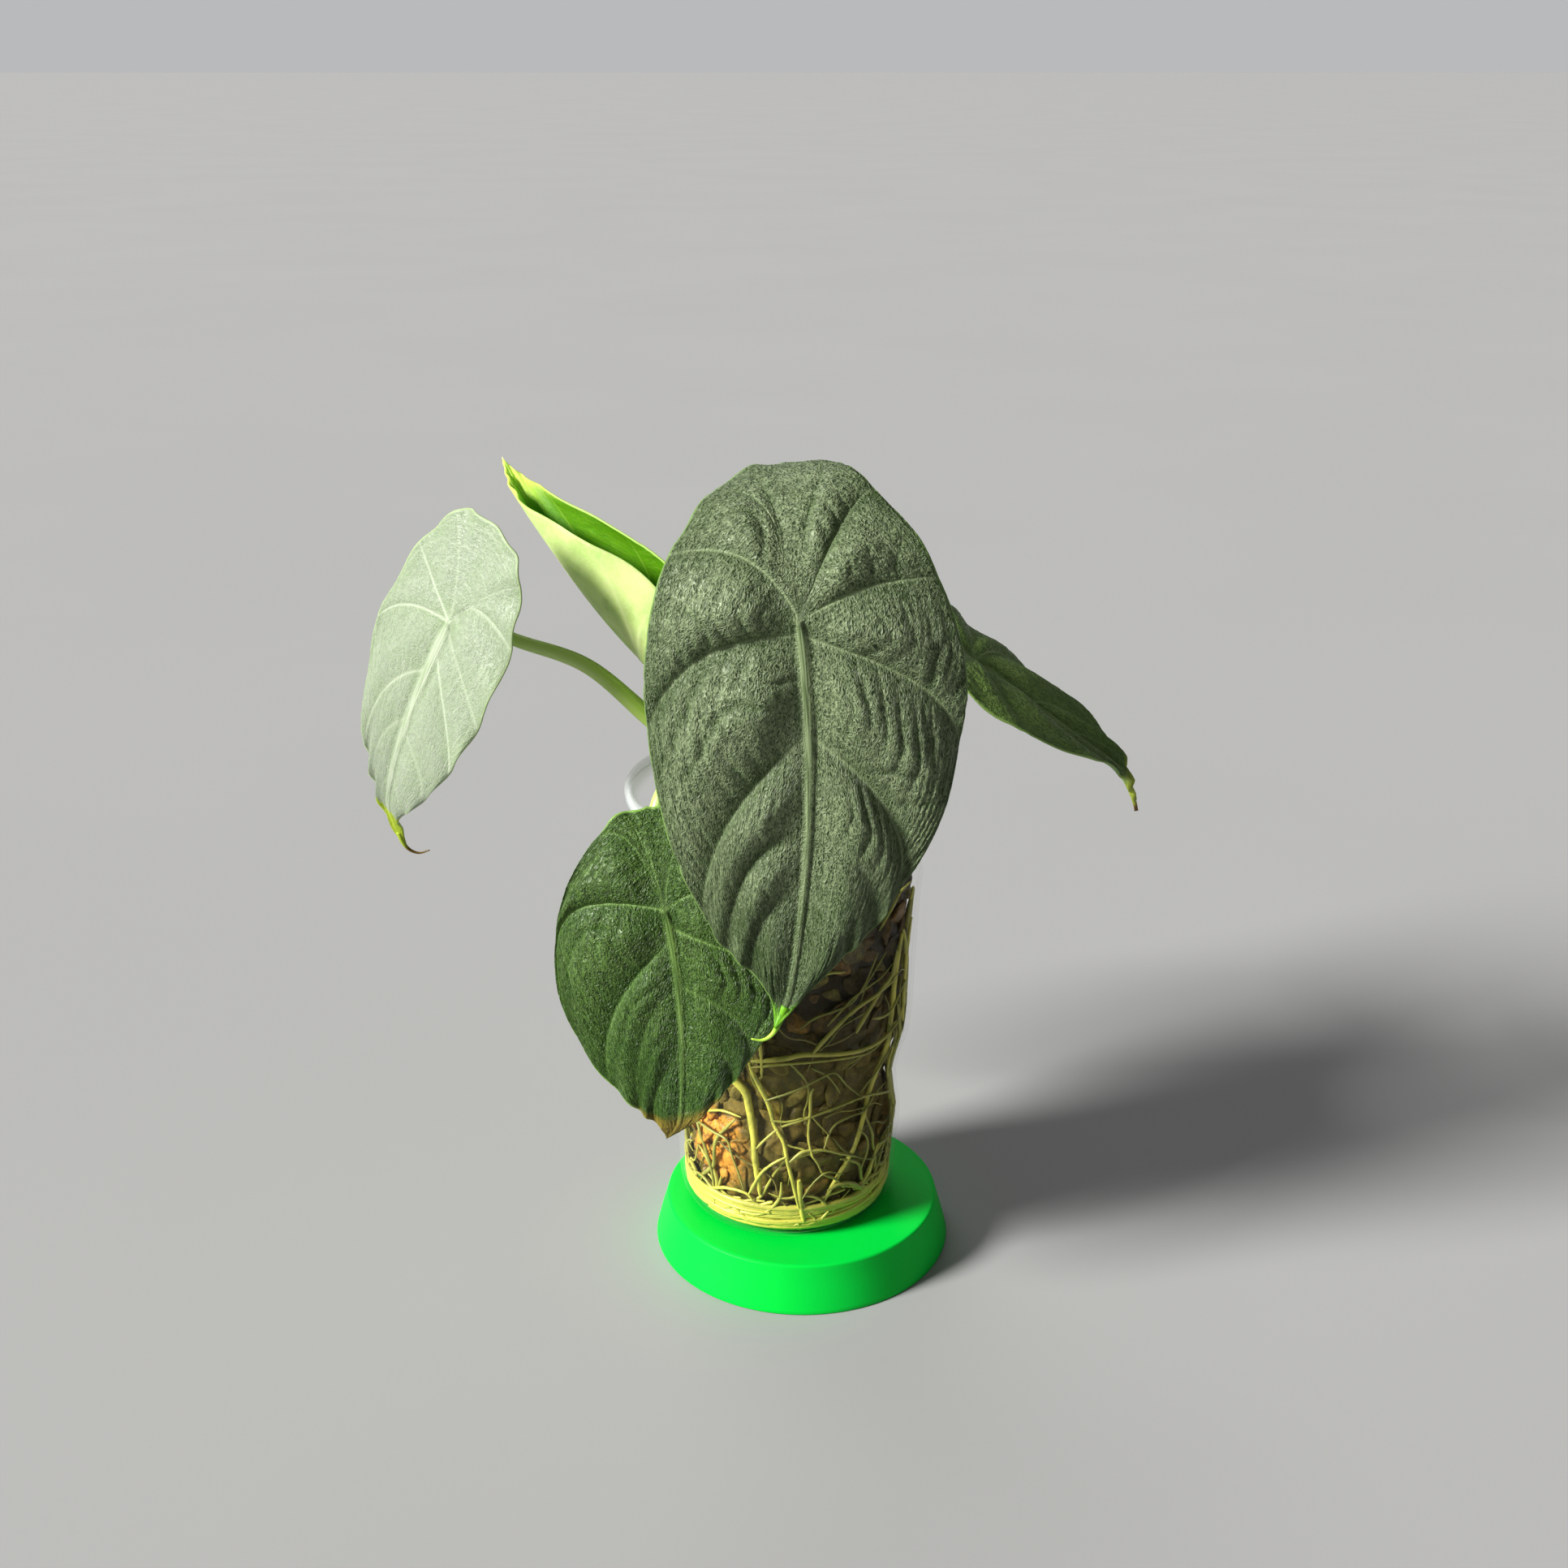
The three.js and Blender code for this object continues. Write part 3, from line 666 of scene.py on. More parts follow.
@dataclass(frozen=True)
class RootFinish:
    """Fleshy roots, paler and more yellow in the coil at the foot."""

    name: str = "root_skin"
    pale: Colour = tint("aaa84c")
    green: Colour = tint("7a7e30")
    coil: Colour = tint("ccc850")
    tan: Colour = tint("6c5c30")
    coil_heights: tuple[float, float] = (0.021, 0.031)
    patch_scale: float = 160
    grain_scale: float = 1400
    relief: float = 0.0001

    def material(self) -> bpy.types.Material:
        """Build the root material."""
        sheet = MaterialSheet(self.name)
        place = sheet.object_place()
        stops = [(0.0, self.tan), (0.35, self.green), (0.75, self.pale), (1.0, self.coil)]
        patchy = sheet.spread(sheet.noise(place, self.patch_scale, 3.0), 0.45, 0.7, 0.0, 0.6)
        colour = sheet.blend(patchy, sheet.steps(sheet.kept("tone"), stops), self.green)
        low = sheet.spread(sheet.height(place), *self.coil_heights, 0.85, 0.0)
        return sheet.close(
            Base_Color=sheet.blend(low, colour, self.coil),
            Roughness=0.42,
            Normal=sheet.bump(sheet.noise(place, self.grain_scale, 2.0), self.relief),
            Subsurface_Weight=0.12,
            Subsurface_Radius=(1.0, 0.8, 0.3),
            Subsurface_Scale=0.0012,
        )


@dataclass(frozen=True)
class MixFinish:
    """Damp bark, pumice and clay pieces in dark fines."""

    name: str = "chunky_mix"
    fines: Colour = tint("171106")
    bark: Colour = tint("3e3212")
    bark_red: Colour = tint("62491e")
    pumice: Colour = tint("766e36")
    clay: Colour = tint("946c2a")
    rust: Colour = tint("e09a34")
    moss: Colour = tint("94842e")
    tone_steps: tuple[float, ...] = (0.0, 0.06, 0.42, 0.7, 0.9)
    rust_place: Place = (-0.0285, -0.0195, 0.042)
    rust_reach: tuple[float, float] = (0.013, 0.022)
    rust_raggedness: float = 0.012
    # Heights over which the warm moss colour fades out, leaving the upper mix darker as painted shade.
    moss_and_shade_heights: tuple[float, float] = (0.06, 0.1)
    mottle_scale: float = 420
    relief: float = 0.0006

    def material(self) -> bpy.types.Material:
        """Build the mix material from the tone kept on each piece."""
        sheet = MaterialSheet(self.name)
        place = sheet.object_place()
        colours = (self.fines, self.bark, self.bark_red, self.pumice, self.clay)
        colour = sheet.steps(sheet.kept("tone"), list(zip(self.tone_steps, colours)), smooth=False)
        mottle = sheet.noise(place, self.mottle_scale, 4.0, 0.65)
        colour = sheet.blend(sheet.spread(mottle, 0.35, 0.75, 0.75, 0.0), colour, self.fines)
        # More warm moss colour low in the cup and less higher up, where the mix is kept darker as painted
        # shade from the leaves above.
        moss_below_shade_above = sheet.times(sheet.spread(sheet.height(place), *self.moss_and_shade_heights, 0.7, 0.1), mottle)
        colour = sheet.blend(moss_below_shade_above, colour, self.moss)
        ragged = sheet.times(sheet.noise(place, 170, 3.0), self.rust_raggedness)
        patch = sheet.maths("ADD", sheet.vector_maths("DISTANCE", place, self.rust_place), ragged)
        rusty = sheet.blend(sheet.spread(mottle, 0.3, 0.55), self.bark_red, self.rust)
        return sheet.close(
            Base_Color=sheet.blend(sheet.spread(patch, *self.rust_reach, 0.95, 0.0), colour, rusty),
            Roughness=sheet.spread(sheet.noise(place, 90, 2.0), 0.4, 0.6, 0.35, 0.8),
            Specular_IOR_Level=0.3,
            Normal=sheet.bump(mottle, self.relief),
        )


@dataclass(frozen=True)
class CupFinish:
    """Clear thin plastic with a little haze, denser at its rim and where it is seen edge-on."""

    name: str = "clear_plastic"
    body: Colour = tint("dfe6e4")
    facing_alpha: float = 0.002
    edge_alpha: float = 0.2
    rim_alpha: float = 0.28
    haze_alpha: float = 0.006
    edge_power: float = 4.0
    smear_scale: float = 35
    relief: float = 0.0003

    def material(self) -> bpy.types.Material:
        """Build the clear plastic."""
        sheet = MaterialSheet(self.name)
        place = sheet.object_place()
        layer = sheet.add("ShaderNodeLayerWeight", {"Blend": 0.35})
        grazing = sheet.maths("POWER", layer.outputs["Facing"], self.edge_power)
        alpha = sheet.spread(grazing, 0.0, 1.0, self.facing_alpha, self.edge_alpha)
        alpha = sheet.maths("ADD", alpha, sheet.times(sheet.noise(place, 60, 3.0), self.haze_alpha))
        smear = sheet.noise(place, self.smear_scale, 4.0)
        return sheet.close(
            Base_Color=self.body,
            Roughness=sheet.spread(smear, 0.3, 0.7, 0.1, 0.22),
            Alpha=sheet.most(alpha, sheet.times(sheet.kept("rim"), self.rim_alpha)),
            IOR=1.49,
            Specular_IOR_Level=0.6,
            Normal=sheet.bump(smear, self.relief),
        )


@dataclass(frozen=True)
class StandFinish:
    """Bright green moulded plastic."""

    name: str = "green_plastic"
    green: Colour = tint("00cc3c")
    light: Colour = tint("00d848")
    cloud_scale: float = 30
    layer_scale: Place = (20.0, 20.0, 3200.0)
    layer_relief: float = 0.00003
    grain_scale: float = 2600
    grain_relief: float = 0.00004

    def material(self) -> bpy.types.Material:
        """Build the plastic of the stand."""
        sheet = MaterialSheet(self.name)
        place = sheet.object_place()
        cloud = sheet.noise(place, self.cloud_scale, 3.0)
        layers = sheet.noise(sheet.vector_maths("MULTIPLY", place, self.layer_scale), 1.0, 1.0)
        grain = sheet.bump(sheet.noise(place, self.grain_scale, 2.0), self.grain_relief)
        return sheet.close(
            Base_Color=sheet.blend(sheet.spread(cloud, 0.35, 0.75, 0.0, 0.3), self.green, self.light),
            Roughness=sheet.spread(cloud, 0.3, 0.7, 0.42, 0.52),
            Specular_IOR_Level=0.1,
            Normal=sheet.bump(layers, self.layer_relief, grain),
            Subsurface_Weight=0.08,
            Subsurface_Radius=(0.2, 1.0, 0.4),
            Subsurface_Scale=0.003,
        )


@dataclass(frozen=True)
class FloorFinish:
    """Pale matt studio floor."""

    name: str = "studio_floor"
    pale: Colour = (0.36, 0.36, 0.36, 1.0)
    grey: Colour = (0.3, 0.3, 0.3, 1.0)
    cloud_scale: float = 3

    def material(self) -> bpy.types.Material:
        """Build the floor material."""
        sheet = MaterialSheet(self.name)
        cloud = sheet.spread(sheet.noise(sheet.object_place(), self.cloud_scale, 3.0), 0.3, 0.7, 0.0, 0.12)
        colour = sheet.blend(cloud, self.pale, self.grey)
        return sheet.close(Base_Color=colour, Roughness=0.9, Specular_IOR_Level=0.1)


# Leaves


class Side(Enum):
    """Half of a blade, as seen with the upper face towards the viewer and the tip down."""

    LEFT = -1
    RIGHT = 1


@dataclass(frozen=True)
class Vein:
    """A lateral vein: where it leaves the midrib and meets the margin, its bow, valley and paleness."""

    start: float
    end: float
    lean: float
    spread: float
    depth: float = 1.0
    pale: float = 1.0


@dataclass(frozen=True)
class Fold:
    """A smaller valley of one half, through places given as vein number and share to the margin."""

    side: Side
    places: tuple[tuple[float, float], ...]
    depth: float = 0.8
    width: float = 1.3


# Numbers that all blades share

TINY = 1e-6
EVEN_SHARE = 0.85
EVEN_STEPS = 400
MARGIN_SCALE = 0.85
# Reach of the darker green round the petiole's attach: partly the blade's own green, partly painted shade.
HUB_GREEN_AND_SHADE = 6.0
GRAIN_STEP = 4.0
GRAIN_APART = 3.0
HOOK_START = 0.955
HOOK_RINGS = 26
HOOK_SIDES = 10
HUB_RADIUS = 1.6
HUB_HEIGHT = 0.45
RIDGE_HEIGHT = 0.09
RIDGE_PITCH = 0.85
FURROW_DEPTH = 0.3
UNDER_VEIN_WIDTH = 0.9
UNDER_RIB_WIDTH = 1.6
UNDER_HUB_RADIUS = 3.5
SEAT_GAP = 0.3
STALK_SINK = 0.9


def fan(*rows: tuple[float, ...], seam_depth: float = 0.4) -> tuple[Vein, ...]:
    """Make the veins of one half from their numbers, between the seam of the lobes and the tip."""
    seam, tip = Vein(0, 0, 0.5, 0.5, seam_depth, 0.0), Vein(1, 1, 0.5, 1, 0.0, 0.0)
    return (seam, *(Vein(*row) for row in rows), tip)


PLAIN_FAN = fan(
    (0, 0.09, 0.62, 0.18, 0.6, 0.6),
    (0, 0.27, 1.15, 0.33),
    (0, 0.54, 0.15, 0.7),
    (0.29, 0.835, 0.3, 1.24),
    (0.5, 0.915, 0.35, 1.2, 0.6, 0.6),
    (0.7, 0.96, 0.4, 1.15, 0.5, 0.4),
)
FRONT_FANS = (
    fan(
        (0, 0.124, 1.0, 0.05, 1.0, 0.35),
        (0, 0.247, 1.07, 0.27, 0.8, 1.0),
        (0.036, 0.544, -0.17, 0.74, 1.0, 0.6),
        (0.275, 0.829, 0.45, 1.09, 1.0, 0.5),
        (0.514, 0.882, 0.03, 1.01, 0.9, 0.1),
        (0.66, 0.915, 0.0, 0.98, 0.9, 0.1),
        seam_depth=0.0,
    ),
    fan(
        (0, 0.115, 0.85, 0.7, 1.0, 0.5),
        (0, 0.265, 1.3, 0.5, 1.0, 1.0),
        (0.036, 0.523, 0.45, 0.92, 0.8, 1.0),
        (0.275, 0.779, 0.53, 1.22, 0.9, 0.9),
        (0.514, 0.846, 0.26, 1.23, 0.25, 0.2),
        (0.66, 0.885, 0.46, 1.19, 0.2, 0.3),
        seam_depth=0.0,
    ),
)
LOW_FANS = (
    fan(
        (0, 0.05, 0.8, 0.12, 0.5, 0.6),
        (0, 0.129, 1.44, 0.26, 0.6, 0.6),
        (0, 0.603, -0.65, 1.2, 0.9, 1.0),
        (0.137, 0.813, 0.45, 1.27, 1.0, 0.5),
        (0.36, 0.893, 0.1, 0.99, 0.5, 0.3),
        (0.62, 0.935, 0.49, 1.08, 0.8, 0.2),
    ),
    fan(
        (0, 0.1, 0.62, 0.2, 0.5, 0.5),
        (0, 0.294, 1.18, 0.35, 0.6, 0.8),
        (0.079, 0.582, 0.67, 0.65, 0.6, 1.0),
        (0.337, 0.826, 0.47, 1.24, 0.5, 0.5),
        (0.586, 0.89, 0.11, 1.37, 0.4, 0.4),
        (0.717, 0.935, 0.37, 1.2, 0.3, 0.3),
    ),
)
LEFT_FANS = (
    fan(
        (0, 0.07, 0.6, 0.3, 0.4, 0.4),
        (0, 0.186, 0.44, 0.48, 0.8, 1.0),
        (0, 0.386, 0.2, 0.79, 0.8, 1.2),
        (0.164, 0.73, 0.29, 1.25, 0.6, 0.9),
        (0.356, 0.837, 0.26, 1.28, 0.4, 0.6),
        (0.62, 0.93, 0.35, 1.15, 0.3, 0.4),
    ),
    fan(
        (0, 0.09, 0.62, 0.4, 0.3, 0.5),
        (0, 0.205, 1.79, 0.05, 0.9, 1.1),
        (0.02, 0.4, 0.7, 0.9, 0.6, 0.6),
        (0.098, 0.563, 0.7, 1.1, 0.9, 1.1),
        (0.404, 0.739, 0.24, 1.43, 0.5, 0.7),
        (0.62, 0.88, 0.35, 1.15, 0.4, 0.4),
    ),
)


def travelled(a: Array, b: Array) -> Array:
    """Give how far each place of a row lies from the row's first along the row."""
    steps = np.hypot(np.diff(a, axis=1), np.diff(b, axis=1))
    return np.concatenate([np.zeros((len(a), 1)), np.cumsum(steps, axis=1)], axis=1)


@dataclass
class LeafBlade:
    """A peltate blade: a vein-aligned quilted sheet with ribs below, bent and folded in space."""

    name: str
    attach: Place
    tipward: Place
    facing: Place
    base_length: float
    tip_length: float
    half_widths: tuple[float, float]
    taper: tuple[float, float]
    finish: LeafFinish
    slot: str
    fans: tuple[tuple[Vein, ...], tuple[Vein, ...]] = (PLAIN_FAN, PLAIN_FAN)
    notch: float = 5.0
    acumen: float = 0.0
    skew: float = 0.0
    lobe_bend: float = 0.0
    tip_bend: float = 0.0
    side_bend: float = 0.0
    fold: float = 0.0
    twist: float = 0.0
    tip_roll: float = 0.0
    swing: float = 0.0
    tail: float = 8.0
    tail_curl: float = 0.0
    tail_side: float = 0.0
    tail_twist: float = 0.0
    puff: float = 2.6
    steepness: float = 0.2
    arch: float = 1.5
    shoulder: float = 9.0
    margin_drop: float = 0.5
    pleat: float = 0.06
    pleat_pitch: float = 2.3
    pleat_reach: tuple[float, float] = (0.45, 0.75)
    wave: float = 0.8
    quilt: float = 0.45
    quilt_pitch: float = 6.5
    quilt_widths: tuple[float, float] = (5.0, 14.0)
    quilt_reach: tuple[float, float] = (4.0, 14.0)
    wander: float = 0.3
    wander_lengths: tuple[float, float] = (8.5, 6.5)
    uneven_lengths: tuple[float, float] = (6.1, 4.7)
    ripple: float = 0.08
    rib_width: float = 1.3
    rib_height: float = 0.8
    keel: float = 1.0
    vein_keel: float = 0.65
    thickness: float = 0.6
    packed_thickness: float = 0.9
    radial_rows: int = 100
    midrib_rows: int = 110
    upper_columns: int = 64
    lower_columns: int = 28
    folds: tuple[Fold, ...] = ()
    hook: tuple[Place, ...] = ()
    hook_radius: float = 0.7
    lobe_ease: float = 0.3
    seed: int = 3

    def __post_init__(self) -> None:
        """Square up the blade's own axes."""
        self.origin = np.array(self.attach, float)
        self.along = unit(self.tipward)
        facing = np.array(self.facing, float)
        self.up = unit(facing - self.along * float(facing @ self.along))
        self.across = np.cross(self.up, self.along)
        self.length = self.base_length + self.tip_length

    def fan(self, side: Side) -> tuple[Vein, ...]:
        """Give the veins of one half."""
        return self.fans[0] if side is Side.LEFT else self.fans[1]

    def half_width(self, share: Array) -> Array:
        """Give the outline's half width, 1 at its widest, at a share of the whole length."""
        low, high = self.taper
        peak = low / (low + high)
        inside = np.clip(share, 0.0, 1.0)
        narrow = 1 - self.acumen * smoothstep(inside, 0.84, 0.97)
        return narrow * inside**low * (1 - inside) ** high / (peak**low * (1 - peak) ** high)

    def margin(self, side: Side, end: Array) -> tuple[Array, Array]:
        """Find the flat place on one half's margin at a share of the way from the base to the tip."""
        at = np.clip(end + side.value * self.skew * np.sin(np.pi * end), 0.0, 1.0)
        half = self.half_widths[1] if side is Side.RIGHT else self.half_widths[0]
        along = -self.base_length + self.length * at + self.notch * bell(at, 0.035)
        return along, side.value * half * self.half_width(at)

    def flat(self, side: Side, v: Array, q: Array) -> tuple[Array, Array]:
        """Find the flat place on vein line v at share q from the midrib to the margin.

        Args:
            side: Half of the blade.
            v: Vein number, with fractions between two veins.
            q: Share of the way to the margin.

        Returns:
            Distance along the midrib from the petiole, and distance across it.
        """
        fan = self.fan(side)
        numbers = np.arange(len(fan))
        starts, ends, leans, spreads = np.array([(x.start, x.end, x.lean, x.spread) for x in fan]).T
        origins = starts * self.tip_length
        vein_a, vein_b = self.margin(side, ends)
        margin_a, margin_b = self.margin(side, np.interp(v, numbers, ends))
        origin = np.interp(v, numbers, origins)
        control_a = np.interp(v, numbers, origins + (vein_a - origins) * leans)
        control_b = np.interp(v, numbers, vein_b * spreads)
        p, m, n = (1 - q) ** 2, 2 * q * (1 - q), q * q
        return p * origin + m * control_a + n * margin_a, m * control_b + n * margin_b

    def bent(self, a: Array, b: Array) -> Array:
        """Carry flat places to their bent and folded places in space.

        Args:
            a: Distance along the midrib.
            b: Distance across it.

        Returns:
            Places in millimetres.
        """
        lobe_rate = math.radians(self.lobe_bend) / self.base_length
        tip_rate = math.radians(self.tip_bend) / self.tip_length
        rate = np.where(a < 0, lobe_rate or TINY, tip_rate or TINY)
        turn = rate * a
        forward = (np.sin(turn) / rate)[..., None] * self.along
        drop = ((1 - np.cos(turn)) / rate)[..., None] * self.up
        up = np.cos(turn)[..., None] * self.up + np.sin(turn)[..., None] * self.along
        past = np.maximum(a - self.tip_length + self.tail, 0.0) / self.tail
        sideways = self.swing * np.maximum(a / self.tip_length, 0.0) ** 2 + self.tail_side * past**2
        rolled = 1 + self.tip_roll * smoothstep(a / self.tip_length, 0.3, 0.9)
        side_rate = (math.radians(self.side_bend) / max(self.half_widths) or TINY) * rolled
        arc = np.sin(side_rate * b) / side_rate
        sink = -(1 - np.cos(side_rate * b)) / side_rate
        fold = math.radians(self.fold)
        outward = np.sqrt(arc * arc + 1) - 1
        over_by = arc * math.cos(fold) - np.sign(b) * sink * math.sin(fold)
        rise = outward * math.sin(fold) + sink * math.cos(fold)
        twist = math.radians(self.twist) * a / self.length + math.radians(self.tail_twist) * past**2
        cosine, sine = np.cos(twist)[..., None], np.sin(twist)[..., None]
        over = cosine * self.across + sine * up
        high = cosine * up - sine * self.across
        spine = self.origin + forward - drop - (self.tail_curl * past**2)[..., None] * up
        return spine + sideways[..., None] * self.across + over_by[..., None] * over + rise[..., None] * high

    def normal(self, a: Array, b: Array) -> Array:
        """Give the unit normal of the bent sheet towards its upper face."""
        step = 0.4
        lengthwise = self.bent(a + step, b) - self.bent(a - step, b)
        crosswise = self.bent(a, b + step) - self.bent(a, b - step)
        square = np.cross(lengthwise, crosswise)
        return square / np.linalg.norm(square, axis=-1)[..., None]

    def row_veins(self, side: Side) -> Array:
        """Give the vein number of each mesh row, evenly spread, the midrib's places shared by both halves."""
        fan = self.fan(side)
        numbers = np.arange(len(fan))
        radial = max(k for k, vein in enumerate(fan) if vein.start == 0)
        share = np.full(EVEN_STEPS, EVEN_SHARE)
        fine = np.linspace(0, radial, EVEN_STEPS)
        outer = np.stack(self.flat(side, fine, share), axis=1)
        reach = np.concatenate([[0], np.cumsum(np.linalg.norm(np.diff(outer, axis=0), axis=1))])
        first = np.interp(np.linspace(0, reach[-1], self.radial_rows + 1), reach, fine)
        starts = np.linspace(0, 1, EVEN_STEPS)
        steps = [np.diff(starts) * self.tip_length]
        for half in Side:
            other = self.fan(half)
            lowest = max(k for k, vein in enumerate(other) if vein.start == 0)
            v = np.interp(starts, [vein.start for vein in other[lowest:]], np.arange(lowest, len(other)))
            outer = np.stack(self.flat(half, v, share), axis=1)
            steps.append(np.linalg.norm(np.diff(outer, axis=0), axis=1))
        reach = np.concatenate([[0], np.cumsum(np.maximum.reduce(steps))])
        places = np.interp(np.linspace(0, reach[-1], self.midrib_rows + 1)[1:], reach, starts)
        rest = np.interp(places, [vein.start for vein in fan[radial:]], numbers[radial:])
        return np.concatenate([first, rest])

    def spacing(self, side: Side, v: Array, q: Array) -> Array:
        """Give the millimetres from one vein line to the next, square to them, for each place."""
        e = 0.004
        top = float(len(self.fan(side)) - 1)
        va, vb = (self.flat(side, np.clip(v + d, 0, top), q) for d in (e, -e))
        qa, qb = (self.flat(side, v, q + d) for d in (e, -e))
        span = np.clip(v + e, 0, top) - np.clip(v - e, 0, top)
        by_v = np.stack([va[0] - vb[0], va[1] - vb[1]]) / span
        by_q = np.stack([qa[0] - qb[0], qa[1] - qb[1]]) / (2 * e)
        area = np.abs(by_v[0] * by_q[1] - by_v[1] * by_q[0])
        return area / np.maximum(np.hypot(by_q[0], by_q[1]), 1e-3)

    def vein_gaps(self, side: Side, v: Array, q: Array) -> Array:
        """Give the distance in millimetres to each vein of the half, one layer a vein."""
        numbers = np.arange(len(self.fan(side)))[:, None, None]
        return np.abs(v - numbers) * self.spacing(side, v, q)

    def panel_width(self, side: Side, v: Array, q: Array) -> Array:
        """Give the width in millimetres of the panel round each place, blended from panel to panel."""
        count = len(self.fan(side)) - 1
        row = q[:1]
        middles = np.arange(count)[:, None] + 0.5
        widths = self.spacing(side, middles + 0 * row, np.repeat(row, count, 0))
        place = np.clip(v[:, 0] - 0.5, 0, count - 1)
        low = np.minimum(place.astype(int), count - 2)
        share = (place - low)[:, None]
        share = share * share * (3 - 2 * share)
        return widths[low] * (1 - share) + widths[low + 1] * share

    def panels(self, side: Side, v: Array, q: Array) -> tuple[Array, Array]:
        """Shape the puffed panels between the veins and the smaller quilting across them.

        Args:
            side: Half of the blade.
            v: Vein number, alike along a row.
            q: Share to the margin, alike down a column.

        Returns:
            Height of the panels in millimetres, and how deep in a valley or crease each place lies, which the
            finish paints darker as painted shade.
        """
        fan = self.fan(side)
        depths = np.array([vein.depth for vein in fan])[:, None, None]
        numbers = np.arange(len(fan))[:, None, None]
        near = np.clip(1 - np.abs(v - numbers) / 0.5, 0, 1)
        valley = (depths * near**self.arch).max(axis=0)
        cut = np.clip((depths * near**4).max(axis=0), 0, 1)
        a, b = self.flat(side, v, q)
        width = self.panel_width(side, v, q)
        crown = self.puff * np.tanh(self.steepness * width / self.puff)
        pillow = smoothstep(np.abs(b), 0.0, self.shoulder) * (1 - self.margin_drop * q**3)
        height = crown * pillow * (1 - valley)
        share = v - np.floor(np.minimum(v, len(fan) - 1.001))
        away = 2 * np.minimum(share, 1 - share)
        offset = (43.7 * np.sin(12.9898 * (np.floor(v) + 3.1 * side.value + self.seed))) % 1.0
        along = travelled(a, b)
        wander_a, wander_b = self.wander_lengths
        wander = self.wander * np.sin(a / wander_a + 1.3 * side.value) * np.sin(b / wander_b + 0.7)
        phase = along / self.quilt_pitch - 0.8 * away + offset + wander
        gap = np.abs(phase - np.round(phase))
        uneven_a, uneven_b = self.uneven_lengths
        patches = np.sin(a / uneven_a + 2.0 * side.value) * np.sin(b / uneven_b + 1.9)
        uneven = np.clip(0.6 + 0.6 * patches, 0, 1.1)
        wide = smoothstep(width, *self.quilt_widths) * smoothstep(along, *self.quilt_reach)
        room = np.sin(np.pi * share) ** 0.6 * wide
        height = height + self.quilt * room * uneven * (np.sin(np.pi * gap) ** 0.6 - 0.6)
        pleats = np.sin(2 * np.pi * (along / self.pleat_pitch + 2 * wander))
        height = height + self.pleat * pleats * room * smoothstep(q, *self.pleat_reach)
        # The groove depth is painted darker by the leaf finish, as painted shade in the creases.
        groove = np.clip(cut * smoothstep(q, 0.02, 0.2) + 0.4 * room * uneven * bell(gap, 0.1), 0, 1)
        return height, groove

    def relief(self, side: Side, v: Array, q: Array) -> tuple[Array, Array]:
        """Join panels, folds and the waved margin into one height; arguments and results as for panels."""
        a, b = self.flat(side, v, q)
        height, groove = self.panels(side, v, q)
        cut = self.fold_depth(a, b)
        ease = 1 - self.lobe_ease * smoothstep(q, 0.35, 0.85) * (1 - smoothstep(v, 2.2, 3.0))
        phase = 1.1 * v + (0.4 if side is Side.RIGHT else 0.0)
        edge_wave = self.wave * q**4 * np.sin(2 * np.pi * phase) * smoothstep(v, 0, 0.6)
        shallow = 1 - smoothstep(a / self.tip_length, 0.88, 1.0)
        return ((height - cut) * ease + edge_wave) * shallow, np.clip(groove + cut / 1.2, 0, 1)

    def fold_depth(self, a: Array, b: Array) -> Array:
        """Add up the named smaller folds at flat places."""
        total = np.zeros_like(a)
        for fold in self.folds:
            v, q = np.array(fold.places).T
            line = spline(np.stack(self.flat(fold.side, v, q), axis=1), 48)
            distance = np.hypot(a[..., None] - line[:, 0], b[..., None] - line[:, 1])
            nearest = distance.argmin(axis=-1)
            share = nearest / (len(line) - 1)
            taper = smoothstep(share, 0.0, 0.25) * (1 - smoothstep(share, 0.7, 1.0) * 0.8)
            gap = distance.min(axis=-1)
            lip = 0.4 * bell(gap - 1.8 * fold.width, fold.width)
            total = total + fold.depth * taper * (np.exp(-gap / (0.7 * fold.width)) - lip)
        return total

    def ripples(self, a: Array, b: Array) -> Array:
        """Give the fine winding wrinkles of the skin as a height from -1 to 1."""
        random = np.random.default_rng(self.seed)
        total = np.zeros_like(a)
        for _ in range(14):
            turn, pitch, phase = (random.uniform(*pair) for pair in ((0, np.pi), (1.5, 2.6), (0, 2 * np.pi)))
            total = total + np.sin(2 * np.pi * (a * np.cos(turn) + b * np.sin(turn)) / pitch + phase)
        return 1 - 2 * np.clip(np.abs(total) / 3.4, 0, 1)

    def midrib_size(self, a: Array) -> Array:
        """Give how strong the midrib is along the blade, 1 at the petiole."""
        return np.where(a > 0, 1 - 0.72 * np.clip(a / self.tip_length, 0, 1), 0.0)

